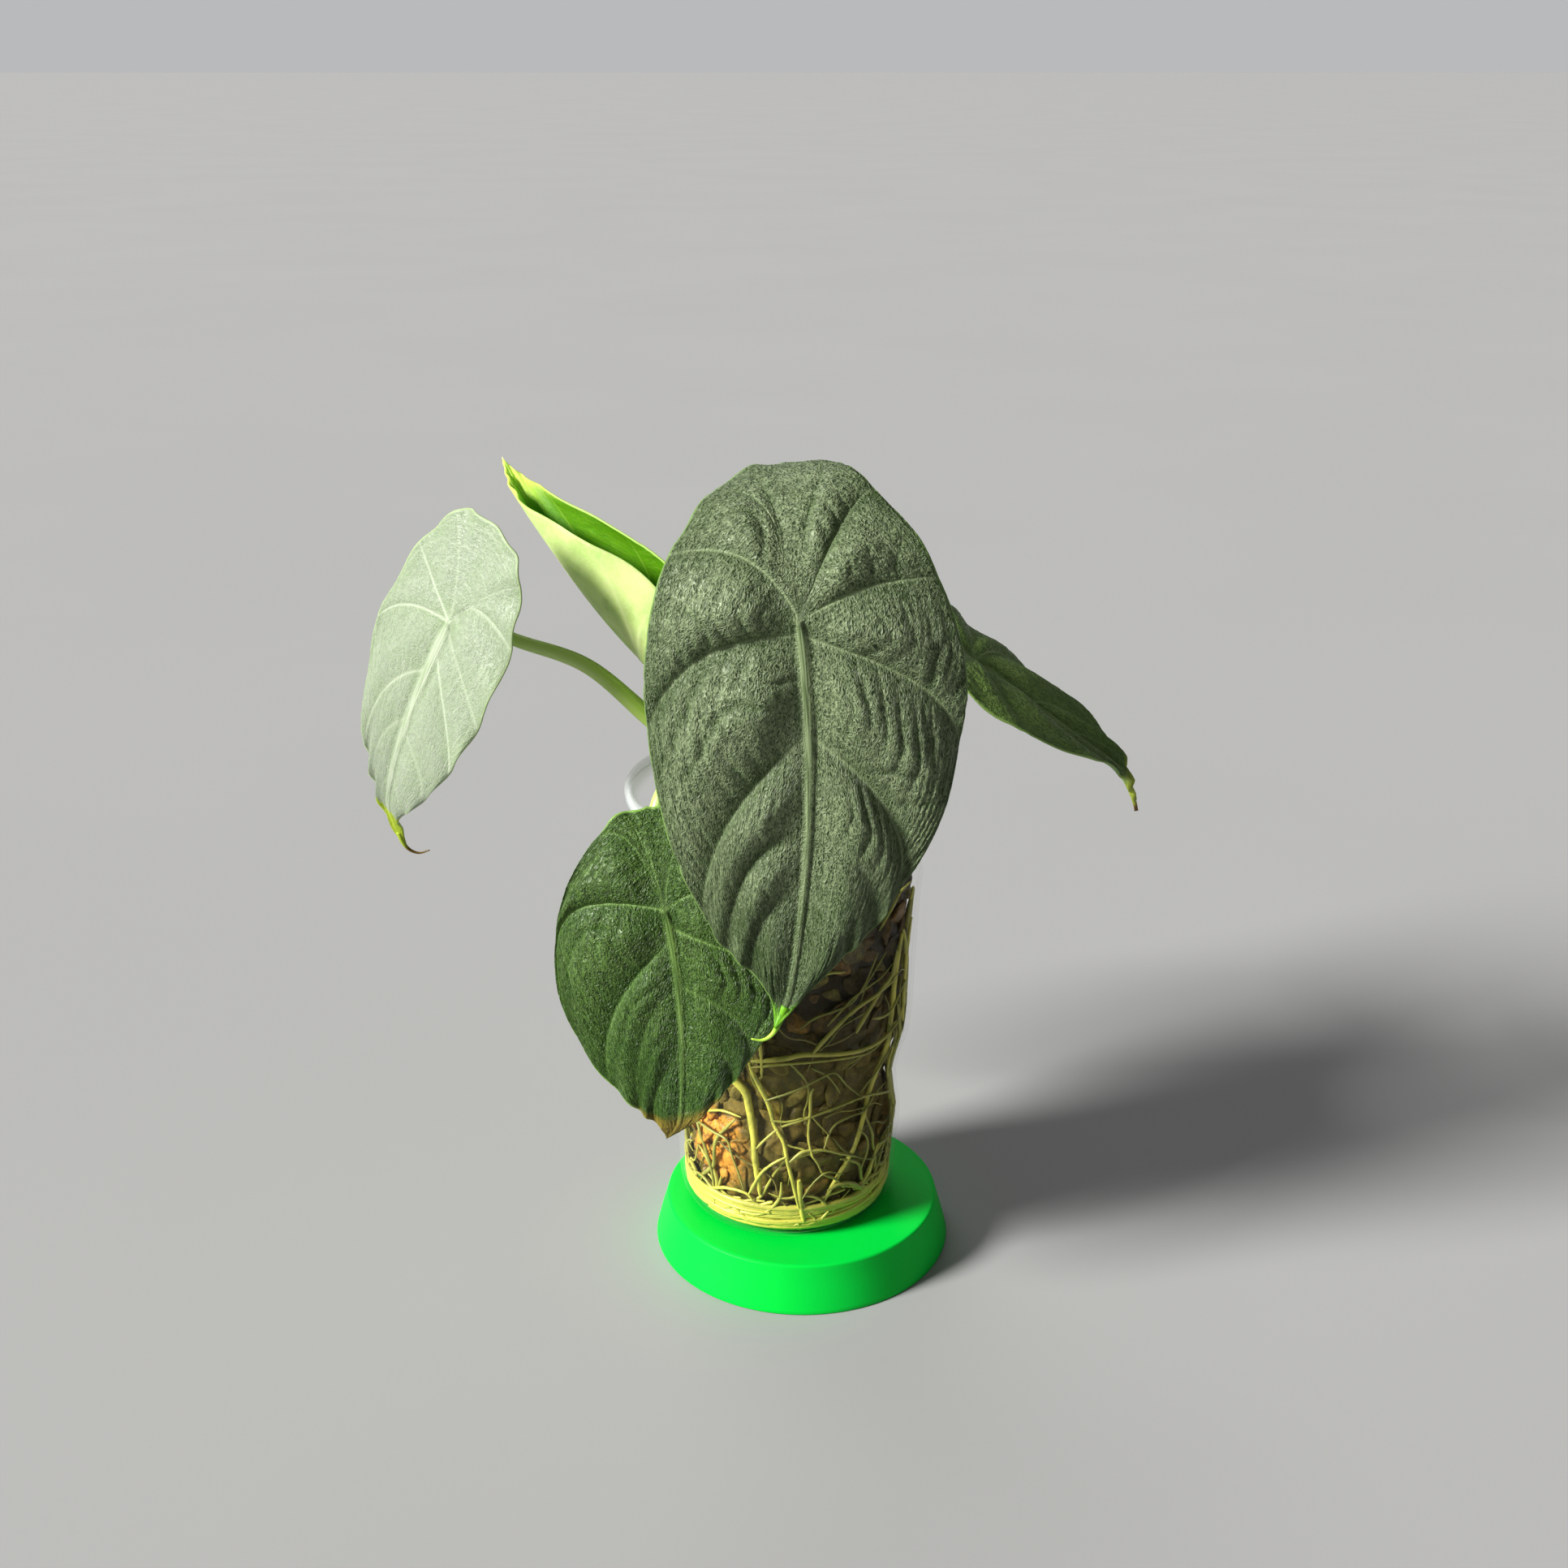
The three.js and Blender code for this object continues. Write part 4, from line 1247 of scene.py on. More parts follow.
    def upper(self, side: Side, v: Array, q: Array) -> tuple[Array, Values]:
        """Shape the upper face of one half.

        Args:
            side: Half of the blade.
            v: Vein number of each place.
            q: Share to the margin of each place.

        Returns:
            Places in millimetres, and the numbers kept on them for the finish.
        """
        a, b = self.flat(side, v, q)
        height, groove = self.relief(side, v, q)
        size = self.midrib_size(a)
        width = self.rib_width * (0.3 + 0.7 * size) * (0.35 + 0.65 * smoothstep(a, -1.5, 7.0))
        ending = smoothstep(a, -2.0, 3.0) * (1 - 0.9 * smoothstep(a / self.tip_length, 0.9, 1.0))
        rib = np.exp(-((b / width) ** 4)) * ending
        furrow = bell(np.abs(b) - 1.7 * width, 0.7 * width) * ending
        hub = bell(np.hypot(a, b), HUB_RADIUS)
        ripple = self.ripple * self.ripples(a, b) * (1 - rib) * smoothstep(q, 0.0, 0.05)
        ridges = RIDGE_HEIGHT * np.cos(2 * np.pi * b / RIDGE_PITCH) * size
        height = height + ripple + HUB_HEIGHT * hub
        height = height + rib * (self.rib_height * (0.3 + 0.7 * size) + ridges) - FURROW_DEPTH * furrow * size
        place = self.bent(a, b) + self.normal(a, b) * (height + self.packed_thickness / 2)[..., None]
        gaps = self.vein_gaps(side, v, q)
        pale = np.array([vein.pale for vein in self.fan(side)])[:, None, None]
        line = (pale * bell(gaps, 0.5 - 0.22 * q)).max(axis=0) * (1 - 0.6 * smoothstep(q, 0.8, 1.0))
        values = self._kept(side, v, q, a, b, np.zeros_like(a))
        values["vein"] = np.clip(line, 0, 1)
        values["midrib"] = np.clip(np.maximum(rib * (0.3 + 0.8 * size), 0.8 * hub), 0, 1)
        # The valley mask, with the furrows beside the midrib, is painted darker by the leaf finish as painted
        # shade.
        values["valley"] = np.clip(groove + 0.5 * furrow, 0, 1)
        return place, values

    def lower(self, side: Side, v: Array, q: Array) -> tuple[Array, Values]:
        """Shape the underside of one half, with its ribs; arguments and results as for upper."""
        a, b = self.flat(side, v, q)
        height, _ = self.relief(side, v, q)
        size = self.midrib_size(a)
        gaps = self.vein_gaps(side, v, q)
        depths = np.array([vein.depth for vein in self.fan(side)])[:, None, None]
        veins = (np.minimum(depths, 1) * bell(gaps, UNDER_VEIN_WIDTH)).max(axis=0) * (1 - q) ** 1.1
        rib = bell(b, UNDER_RIB_WIDTH * (0.35 + 0.65 * size)) * smoothstep(a, -2.0, 2.0) * (size > 0)
        hub = bell(np.hypot(a, b), UNDER_HUB_RADIUS)
        ribs = self.keel * np.maximum.reduce([self.vein_keel * veins, rib * (0.3 + 0.7 * size), hub])
        depth = self.packed_thickness / 2 - (self.packed_thickness - self.thickness) + ribs
        place = self.bent(a, b) + self.normal(a, b) * (height - depth)[..., None]
        values = self._kept(side, v, q, a, b, np.ones_like(a))
        values["vein"] = np.clip(1.4 * veins, 0, 1)
        values["midrib"] = np.clip(np.maximum(rib, hub), 0, 1)
        values["valley"] = np.zeros_like(a)
        return place, values

    def _kept(self, side: Side, v: Array, q: Array, a: Array, b: Array, under: Array) -> Values:
        """Give the numbers that both faces keep.

        Args:
            side: Half of the blade.
            v: Vein number of each place.
            q: Share to the margin.
            a: Flat distance along the midrib.
            b: Flat distance across it.
            under: 1 on the underside.

        Returns:
            The numbers by name.
        """
        along = travelled(a, b)
        over = np.abs(v - np.round(v)) * self.spacing(side, v, q)
        apart = GRAIN_STEP * v + GRAIN_APART * side.value * smoothstep(v, 0.0, 1.5)
        return {
            "leaf_place": np.stack([a, b, np.zeros_like(a)], axis=-1) * MM,
            "grain": np.stack([along, over, apart], axis=-1) * MM,
            "inward": (along[:, -1:] - along) * MARGIN_SCALE,
            "hub": bell(np.hypot(a, b), HUB_GREEN_AND_SHADE),
            "tip_distance": self.tip_length - a,
            "underside": under,
        }

    def build(self) -> None:
        """Weld both faces of both halves into one closed sheet and dress it."""
        layers = []
        for side in Side:
            v = self.row_veins(side)[:, None]
            for columns, shaper in ((self.upper_columns, self.upper), (self.lower_columns, self.lower)):
                q = (np.linspace(0, 1, columns + 1) ** 1.1)[None, :]
                layers.append(shaper(side, *(grid.copy() for grid in np.broadcast_arrays(v, q))))
        points, numbers, faces = self._weld(layers, self.radial_rows + self.midrib_rows)
        if self.hook:
            points, numbers, faces = self._add_hook(points, numbers, faces)
        dress(f"{self.name}_quilted", points, faces, numbers, self.finish, self.name)

    def _weld(self, layers: list[tuple[Array, Values]], rows: int) -> tuple[Array, Values, Faces]:
        """Join the four grids along midrib, seam, petiole, tip and a rounded margin.

        Args:
            layers: Places and numbers of left upper, left lower, right upper and right lower grids.
            rows: Number of mesh rows from the seam to the tip.

        Returns:
            Points, numbers on them and faces.
        """
        flat_points, flat_values, ids = [], [], []
        count = 0
        for place, values in layers:
            shape = place.shape[:2]
            ids.append(np.arange(count, count + shape[0] * shape[1]).reshape(shape))
            flat_points.append(place.reshape(-1, 3))
            flat_values.append({k: x.reshape(-1, *x.shape[2:]) for k, x in values.items()})
            count += shape[0] * shape[1]
        for upper, lower in ((0, 1), (2, 3)):
            top, below = layers[upper][0][:, -1], layers[lower][0][:, -1]
            outward = top - layers[upper][0][:, -2]
            outward /= np.maximum(np.linalg.norm(outward, axis=1), 1e-6)[:, None]
            middle = (top + below) / 2 + outward * self.thickness * 0.4
            ids.append(np.arange(count, count + rows + 1).reshape(-1, 1))
            flat_points.append(middle)
            flat_values.append({k: x[:, -1] for k, x in layers[upper][1].items()})
            count += rows + 1
        points = np.vstack(flat_points)
        numbers = {k: np.concatenate([values[k] for values in flat_values]) for k in flat_values[0]}
        same = np.arange(count)
        for left, right in ((0, 2), (1, 3), (4, 5)):
            same[ids[right][0, :]] = ids[left][0, :]
            same[ids[right][rows, :]] = ids[left][rows, 0]
            same[ids[left][rows, :]] = ids[left][rows, 0]
            if left < 4:
                same[ids[right][:, 0]] = ids[left][:, 0]
                for grid in (ids[left], ids[right]):
                    same[grid[: self.radial_rows + 1, 0]] = ids[left][0, 0]
        quads = []
        for number, side in ((0, -1), (1, -1), (2, 1), (3, 1)):
            g = ids[number]
            quad = np.stack([g[:-1, :-1], g[1:, :-1], g[1:, 1:], g[:-1, 1:]], axis=-1).reshape(-1, 4)
            outward_order = (side > 0) == (number in (0, 2))
            quads.append(quad if outward_order else quad[:, ::-1])
        for (upper, lower, rim), side in (((0, 1, 4), -1), ((2, 3, 5), 1)):
            for high, low in ((ids[upper][:, -1], ids[rim][:, 0]), (ids[rim][:, 0], ids[lower][:, -1])):
                quad = np.stack([high[:-1], high[1:], low[1:], low[:-1]], axis=-1)
                quads.append(quad if side > 0 else quad[:, ::-1])
        welded = same[np.vstack(quads)]
        used, compact = np.unique(welded, return_inverse=True)
        compact = compact.reshape(welded.shape)
        faces = []
        for corners in compact.tolist():
            kept = [c for i, c in enumerate(corners) if c != corners[i - 1]]
            if len(set(kept)) > 2:
                faces.append(kept)
        return points[used], {k: x[used] for k, x in numbers.items()}, faces

    def _add_hook(self, points: Array, numbers: Values, faces: Faces) -> tuple[Array, Values, Faces]:
        """Carry the drip tip on as a thin tapering hook.

        Args:
            points: Points so far.
            numbers: Numbers on them.
            faces: Faces so far.

        Returns:
            The same three with the hook's added.
        """
        start = self.bent(np.array([self.tip_length * HOOK_START]), np.zeros(1))[0]
        path = spline(np.vstack([start, np.array(self.hook, float)]), HOOK_RINGS)

        def radius(share: Array, turn: Array) -> Array:
            """Taper the hook towards its end."""
            return self.hook_radius * (1 - 0.82 * share**0.8) * np.ones_like(turn)

        extra, more = tube(path, radius, HOOK_SIDES)
        step = np.linalg.norm(np.diff(path, axis=0), axis=1).mean()
        beyond = 4.0 - np.repeat(np.arange(HOOK_RINGS), HOOK_SIDES) * step
        beyond = np.concatenate([beyond, [beyond[0], beyond[-1]]])
        for label, kept in numbers.items():
            share = 1.0 if label == "tip_distance" else 0.0
            block = np.outer(beyond * MM, (1, 0, 0)) if kept.ndim == 2 else share * beyond
            numbers[label] = np.concatenate([kept, block])
        faces = faces + [[c + len(points) for c in face] for face in more]
        return np.vstack([points, extra]), numbers, faces

    def seat(self, distance: float, slide: float) -> Array:
        """Give the petiole's place at a distance below the ribs, slid towards the lobes."""
        middle, across = np.array([-slide]), np.zeros(1)
        depth = self.packed_thickness / 2 + self.keel + SEAT_GAP + distance
        return (self.bent(middle, across) - self.normal(middle, across) * depth)[0]


@dataclass
class Petiole:
    """A leaf stalk from the crown to its blade, with a clasping sheath at its foot."""

    name: str
    blade: LeafBlade
    foot: Place
    route: tuple[Place, ...]
    approach: float
    slide: float = 0.0
    base_radius: float = 4.0
    top_radius: float = 1.7
    sides: int = 26
    rings: int = 90
    finish: StalkFinish = field(default_factory=StalkFinish)

    def path(self) -> Array:
        """Give the centre line, run on a little into the blade's ribs."""
        foot = np.array(self.foot, float)
        points = [
            foot,
            foot + [0, 0, 5],
            *[np.array(p, float) for p in self.route],
            self.blade.seat(self.approach, self.slide),
            self.blade.seat(0.0, self.slide),
        ]
        line = spline(np.array(points), self.rings - 1)
        return np.vstack([line, self.blade.seat(-STALK_SINK, self.slide)])

    def radius(self, share: Array, turn: Array) -> Array:
        """Give the radius at a share of the way up and an angle round the stalk."""
        plain = self.top_radius + (self.base_radius - self.top_radius) * (1 - share) ** 1.5
        flare = 1 + 0.35 * smoothstep(share, 0.955, 1.0)
        groove = 1 - 0.05 * bell(turn - np.pi, 0.45) * (1 - share)
        ribs = 1 + 0.012 * np.cos(9 * turn)
        return plain * flare * groove * ribs

    def build(self) -> None:
        """Sweep the stalk and dress it."""
        points, faces = tube(self.path(), self.radius, self.sides)
        along = np.repeat(np.linspace(0, 1, self.rings), self.sides)
        around = np.tile(np.linspace(0, 2 * np.pi, self.sides, endpoint=False), self.rings)
        values = {"along": np.append(along, [0.0, 1.0]), "around": np.append(around, [0.0, 0.0])}
        dress(f"{self.name}_skin", points, faces, values, self.finish, self.name)


# Pot


@dataclass
class Cup:
    """The clear cup: its outline is shared with what stands in it."""

    centre: tuple[float, float] = (-4.6, 3.0)
    floor_bottom: float = 15.1
    floor: float = 1.2
    wall: float = 0.8
    foot_radius: float = 29.6
    rim_top: float = 151.5
    rim_radius: float = 47.5
    skirt: float = 3.5
    segments: int = 160
    outline: tuple[tuple[float, float], ...] = (
        (16.3, 31.6),
        (20, 33.3),
        (33, 34),
        (43.7, 35.1),
        (49.5, 34.3),
        (57.9, 33.6),
        (64, 34.6),
        (74.4, 37.5),
        (102, 38.8),
        (124.4, 40.2),
        (146.5, 43.9),
    )
    finish: CupFinish = field(default_factory=CupFinish)

    def radius(self, height: Array) -> Array:
        """Give the outer radius at a height above the stand's underside."""
        heights, radii = zip(*self.outline)
        return np.interp(height, heights, radii)

    def build(self) -> None:
        """Turn the cup with its rolled rim and dress it."""
        outer = spline(np.array([(r, z) for z, r in self.outline]), 44)
        top, rim = self.rim_top, self.rim_radius
        inner = outer[2:] - np.array([self.wall, 0.0])
        lip = [
            (rim - 2.6, top - 2.6),
            (rim - 1.5, top - 2.2),
            (rim - 1.05, top - 2.5),
            (rim - 0.95, top - self.skirt),
            (rim - 0.5, top - self.skirt - 0.05),
            (rim - 0.15, top - self.skirt + 0.2),
            (rim, top - 1.6),
            (rim - 0.1, top - 0.7),
            (rim - 0.5, top - 0.15),
            (rim - 1.1, top),
            (rim - 1.9, top - 0.1),
            (rim - 2.6, top - 0.6),
            (rim - 3.1, top - 1.4),
            (rim - 3.4, top - 2.4),
        ]
        foot, low, floor_top = self.foot_radius, self.floor_bottom, self.floor_bottom + self.floor
        dome = [(0, low + 0.5), (foot * 0.8, low + 0.5), (foot * 0.9, low + 0.05)]
        base = [*dome, (foot, low), (foot + 1.2, low + 0.3)]
        inside = [(foot + 1, floor_top), (foot * 0.9, floor_top + 0.05), (0, floor_top + 0.05)]
        profile = np.array([*base, *outer, *lip, *inner[::-1], *inside])
        points, faces = lathe(profile, self.segments, self.centre)
        values = {"rim": smoothstep(points[:, 2], top - 5.5, top - 3.2)}
        dress("cup_moulded", points, faces, values, self.finish, "cup")


@dataclass
class Stand:
    """The round tapered stand."""

    bottom_radius: float = 46.0
    top_radius: float = 42.3
    height: float = 14.8
    fillet: float = 0.9
    segments: int = 180
    finish: StandFinish = field(default_factory=StandFinish)

    def build(self) -> None:
        """Turn the stand with rounded edges and dress it."""
        foot, head, height = self.bottom_radius, self.top_radius, self.height
        turns = np.linspace(0, np.pi / 2, 7)
        middle = np.array([head - self.fillet, height - self.fillet])
        edge = middle + self.fillet * np.stack([np.cos(turns), np.sin(turns)], axis=1)
        base = [(0, 0), (foot - 0.5, 0), (foot - 0.15, 0.12), (foot, 0.5)]
        wall = [(foot - 0.25, 1.5), (foot - 1.8, height / 2)]
        profile = np.array([*base, *wall, *edge, (head - 2.2, height), (head - 12, height), (0, height)])
        points, faces = lathe(profile, self.segments, (0.0, 0.0))
        dress("stand_moulded", points, faces, {}, self.finish, "stand")


@dataclass
class Crown:
    """The short ringed stem base in the hole of the mix."""

    centre: tuple[float, float]
    radius: float = 13.4
    top: float = 135.7
    bottom: float = 118.0
    scars: int = 6
    scar_depth: float = 0.35
    finish: CrownFinish = field(default_factory=CrownFinish)

    def build(self) -> None:
        """Turn the crown with leaf scars and dress it."""
        heights = np.linspace(self.bottom, self.top, 40)
        share = (heights - self.bottom) / (self.top - self.bottom)
        radii = self.radius * (0.7 + 0.3 * smoothstep(share, 0.0, 0.5))
        radii -= self.scar_depth * np.abs(np.sin(np.pi * share * self.scars)) * smoothstep(share, 0.1, 0.3)
        radii -= 1.4 * smoothstep(share, 0.93, 1.0)
        profile = np.array([(0, self.bottom), *zip(radii, heights), (0, self.top)])
        points, faces = lathe(profile, 72, self.centre)
        turn = np.arctan2(points[:, 1] - self.centre[1], points[:, 0] - self.centre[0])
        points[:, 2] -= 0.5 * (1 + np.sin(2 * turn)) * smoothstep(points[:, 2], self.top - 6, self.top)
        dress("crown_ringed", points, faces, {}, self.finish, "crown")


@dataclass
class PottingMix:
    """Chunky mix: a dark body with bark, pumice and clay pieces scattered over it."""

    cup: Cup
    crown_radius: float = 13.8
    crown_bottom: float = 118.0
    top: float = 128.0
    wall_gap: float = 3.2
    edge_lift: float = 3.4
    foot_radius: float = 25.0
    segments: int = 110
    piece_gap: float = 0.0048
    piece_size: float = 0.0044
    piece_density: float = 90000.0
    piece_tilt: float = 0.25
    piece_least: Place = (0.45, 0.4, 0.25)
    piece_most: Place = (1.7, 1.15, 0.5)
    variants: int = 4
    cuts: int = 10
    cut_range: tuple[float, float] = (0.42, 0.9)
    cut_sharpness: float = 32
    dent: float = 1.5
    hump: float = 2.2
    seed: int = 12
    finish: MixFinish = field(default_factory=MixFinish)

    def lumps(self, u: Array, z: Array) -> Array:
        """Give an uneven height from 0 to 1 over the surface."""
        coarse = np.sin(u * 5 + 1.3 * np.sin(z * 0.31)) * np.sin(z * 0.37 + 0.9)
        fine = np.sin(u * 11 + 2) * np.sin(z * 0.83 + u * 3)
        return 0.5 + 0.32 * coarse + 0.18 * fine

    def body(self) -> bpy.types.Object:
        """Build the dark body that fills the cup round the crown's hole."""
        foot = self.cup.floor_bottom + self.cup.floor + 0.3
        low = foot + self.edge_lift
        inset = self.cup.wall + self.wall_gap
        sides = np.linspace(low + 2.5, self.top - 3, 54)
        edge = float(self.cup.radius(np.array(self.top))) - inset - 3
        upper = [(edge, 0), (edge - 4, 0.2), (27, 0.4), (23, 0.8), (20, 1.2)]
        upper += [(self.crown_radius + 2, 1.5), (self.crown_radius, 1.6)]
        hole = self.crown_bottom - 0.3
        profile = np.array(
            [
                (0, foot),
                (self.foot_radius, foot),
                (float(self.cup.radius(np.array(low))) - inset - 2, low),
                *zip(self.cup.radius(sides) - inset, sides),
                *[(radius, self.top + rise) for radius, rise in upper],
                (self.crown_radius, hole),
                (0, hole),
            ]
        )
        points, faces = lathe(profile, self.segments, self.cup.centre)
        x, y = points[:, 0] - self.cup.centre[0], points[:, 1] - self.cup.centre[1]
        radius = np.maximum(np.hypot(x, y), 1e-6)
        turn = np.arctan2(y, x)
        loose = (radius > self.crown_radius + 1) & (points[:, 2] > low + 1)
        below = points[:, 2] < self.top
        inward = np.where(loose & below, self.dent * self.lumps(turn, points[:, 2]), 0)
        lift = np.where(loose & ~below, self.hump * (self.lumps(turn, radius * 2) - 0.5), 0)
        scale = (radius - inward) / radius
        points[:, 0] = self.cup.centre[0] + x * scale
        points[:, 1] = self.cup.centre[1] + y * scale
        points[:, 2] += lift
        bare = ((radius < self.crown_radius + 1.2) | (points[:, 2] < low + 1)).astype(float)
        return mesh_object("mix_body", points, faces, {"bare": bare, "tone": np.zeros(len(points))})

    def piece(self, number: int) -> bpy.types.Object:
        """Build one angular piece of unit size, of a numbered variant, from a ball cut by seeded planes."""
        random = np.random.default_rng(self.seed * 10 + number)
        bpy.ops.mesh.primitive_ico_sphere_add(subdivisions=3, radius=1.0)
        made = bpy.context.active_object
        directions = np.array([v.co for v in made.data.vertices])
        planes = random.normal(size=(self.cuts, 3))
        planes /= np.linalg.norm(planes, axis=1)[:, None]
        offsets = random.uniform(*self.cut_range, self.cuts)
        facing = directions @ planes.T
        reach = np.where(facing > 0.05, offsets / np.maximum(facing, 0.05), 9.0)
        sharp = self.cut_sharpness
        radii = np.minimum(-np.log(np.exp(-sharp * reach).sum(axis=1)) / sharp, 1.0)
        made.data.vertices.foreach_set("co", (directions * radii[:, None]).ravel())
        made.name = f"mix_piece_{number}"
        return made

    def tree(self, variants: list[bpy.types.Object]) -> ShapeSheet:
        """Build the geometry tree that scatters the variants of a piece over the body."""
        sheet = ShapeSheet("mix_scatter")
        gap, size, seed = sheet.size("Piece gap"), sheet.size("Piece size"), sheet.size("Seed", "Int")
        material, body = sheet.size("Material", "Material"), sheet.start.outputs["Geometry"]
        feeds = {
            "Mesh": body,
            "Distance Min": gap,
            "Density Max": self.piece_density,
            "Density Factor": sheet.maths("SUBTRACT", 1.0, sheet.kept("bare")),
            "Seed": seed,
        }
        spots = sheet.add("GeometryNodeDistributePointsOnFaces", feeds, distribute_method="POISSON")
        together, whole = sheet.add("GeometryNodeJoinGeometry"), sheet.add("GeometryNodeJoinGeometry")
        for variant in variants:
            feeds = {"Object": variant, "As Instance": True}
            info = sheet.add("GeometryNodeObjectInfo", feeds, transform_space="ORIGINAL")
            sheet.feed(together.inputs[0], info.outputs["Geometry"])
        tilt = self.piece_tilt
        turn = sheet.chance((-tilt, -tilt, 0.0), (tilt, tilt, 6.28), seed, "FLOAT_VECTOR")
        feeds = {0: spots.outputs["Rotation"], 1: turn}
        spin = sheet.add("FunctionNodeRotateRotation", feeds, rotation_space="LOCAL")
        other_seed = sheet.maths("ADD", seed, 3.0)
        scale = sheet.chance(self.piece_least, self.piece_most, other_seed, "FLOAT_VECTOR")
        feeds = {
            "Points": spots.outputs["Points"],
            "Instance": together.outputs[0],
            "Pick Instance": True,
            "Instance Index": sheet.chance(0, len(variants) - 1, seed, "INT"),
            "Rotation": spin.outputs[0],
            "Scale": sheet.vector_maths("SCALE", scale, scale=size),
        }
        pieces = sheet.add("GeometryNodeInstanceOnPoints", feeds).outputs[0]
        tone = sheet.chance(0.07, 1.0, sheet.maths("ADD", seed, 7.0))
        feeds = {"Geometry": pieces, "Name": "tone", "Value": tone}
        kind = {"data_type": "FLOAT", "domain": "INSTANCE"}
        store = sheet.add("GeometryNodeStoreNamedAttribute", feeds, **kind)
        sheet.feed(whole.inputs[0], store.outputs[0])
        sheet.feed(whole.inputs[0], body)
        sheet.close(whole.outputs[0], material)
        return sheet

    def build(self) -> None:
        """Scatter the pieces and dress the mix."""
        variants = [self.piece(i) for i in range(self.variants)]
        sizes = {"Piece gap": self.piece_gap, "Piece size": self.piece_size, "Seed": self.seed}
        sizes["Material"] = self.finish.material()
        made = self.tree(variants).make(self.body(), "potting_mix_pieces", sizes)
        for variant in variants:
            bpy.data.objects.remove(variant)
        hand_over(made, "potting_mix")


@dataclass(frozen=True)
class Root:
    """A root against the cup, through places given as angle from the front and height."""

    places: tuple[tuple[float, float], ...]
    radius: float
    tone: float = 0.7
    sink: float = 0.0


FRONT_ROOTS = (
    Root(((-17, 77.8), (-2, 79.3), (7, 80.5), (27, 78.9), (38, 78.1), (52, 78.4), (65, 80.5)), 0.72, 0.85),
    Root(((-17, 75.8), (-2, 77.7), (17, 77.9), (41, 76.4)), 0.4, 0.7),
    Root(((11, 80.4), (21, 87.4), (32, 92.8), (44, 95.0), (57, 96.9)), 0.6, 0.7),
    Root(((33, 84.8), (40, 90.5), (49, 96.3), (56, 98.9), (58, 106.2)), 0.67, 0.65),
    Root(
        ((-18, 77), (-15, 70.8), (-10, 62), (-7, 55.1), (-2, 49.4), (0, 43.2), (3, 34.9), (6, 26.1)),
        0.75,
        0.95,
    ),
    Root(
        ((-29, 74), (-28, 68.9), (-23, 65), (-21, 57.9), (-18, 48.5), (-17, 41.4), (-15, 30)),
        1.15,
        0.95,
        0.4,
    ),
    Root(((-12, 63.4), (-2, 66.1), (8, 69.1), (15, 71.6), (22, 73.1), (31, 66.6), (42, 59.9)), 0.3, 0.5),
    Root(((-3, 54.6), (8, 56.6), (19, 58.1), (31, 59.3), (45, 59.1), (75, 52.7)), 0.45, 0.75),
    Root(((13, 68), (12, 67.1), (12, 58.8), (11, 50.4), (13, 44)), 0.45, 0.85),
    Root(((13, 57.3), (19, 52.8), (22, 50.5)), 0.26, 0.6),
    Root(((-9, 56.4), (0, 56.2), (8, 57.3)), 0.35, 0.8),
    Root(((-21, 29.9), (-13, 38.9), (-6, 43.0), (0, 45.1)), 0.5, 0.85),
    Root(((-16, 46.8), (-11, 50.4), (-5, 53.9)), 0.4, 0.8),
    Root(((1, 43.2), (8, 46.2), (19, 45.9), (26, 44.2), (38, 40.5)), 0.45, 0.7),
    Root(((19, 46.6), (25, 52.9), (35, 54.5), (45, 54.3), (56, 57.6), (68, 58.1)), 0.35, 0.5),
    Root(((-45, 27.2), (-33, 29.8), (-22, 29.7), (-18, 27.4)), 0.5, 0.9),
    Root(((-61, 48.2), (-44, 47.9), (-33, 47.0), (-29, 41.6), (-24, 31.5)), 0.4, 0.6),
    Root(((-52, 52.6), (-37, 56.0), (-25, 56.0)), 0.45, 0.9),
    Root(((6, 36.3), (7, 27.5), (9, 20.7)), 0.95, 0.95),
    Root(((41, 61.5), (51, 66.2), (58, 71.6), (64, 74.7)), 0.35, 0.5),
    Root(((63, 87.1), (77, 65.7), (89, 43.9), (84, 31.3), (74, 24.0)), 0.5, 0.6),
    Root(((8, 29.6), (15, 35.7), (21, 37.9), (31, 35.4)), 0.26, 0.4),
    Root(((-13, 85.5), (-12, 78.9), (-12, 72.8)), 0.5, 0.9),
)


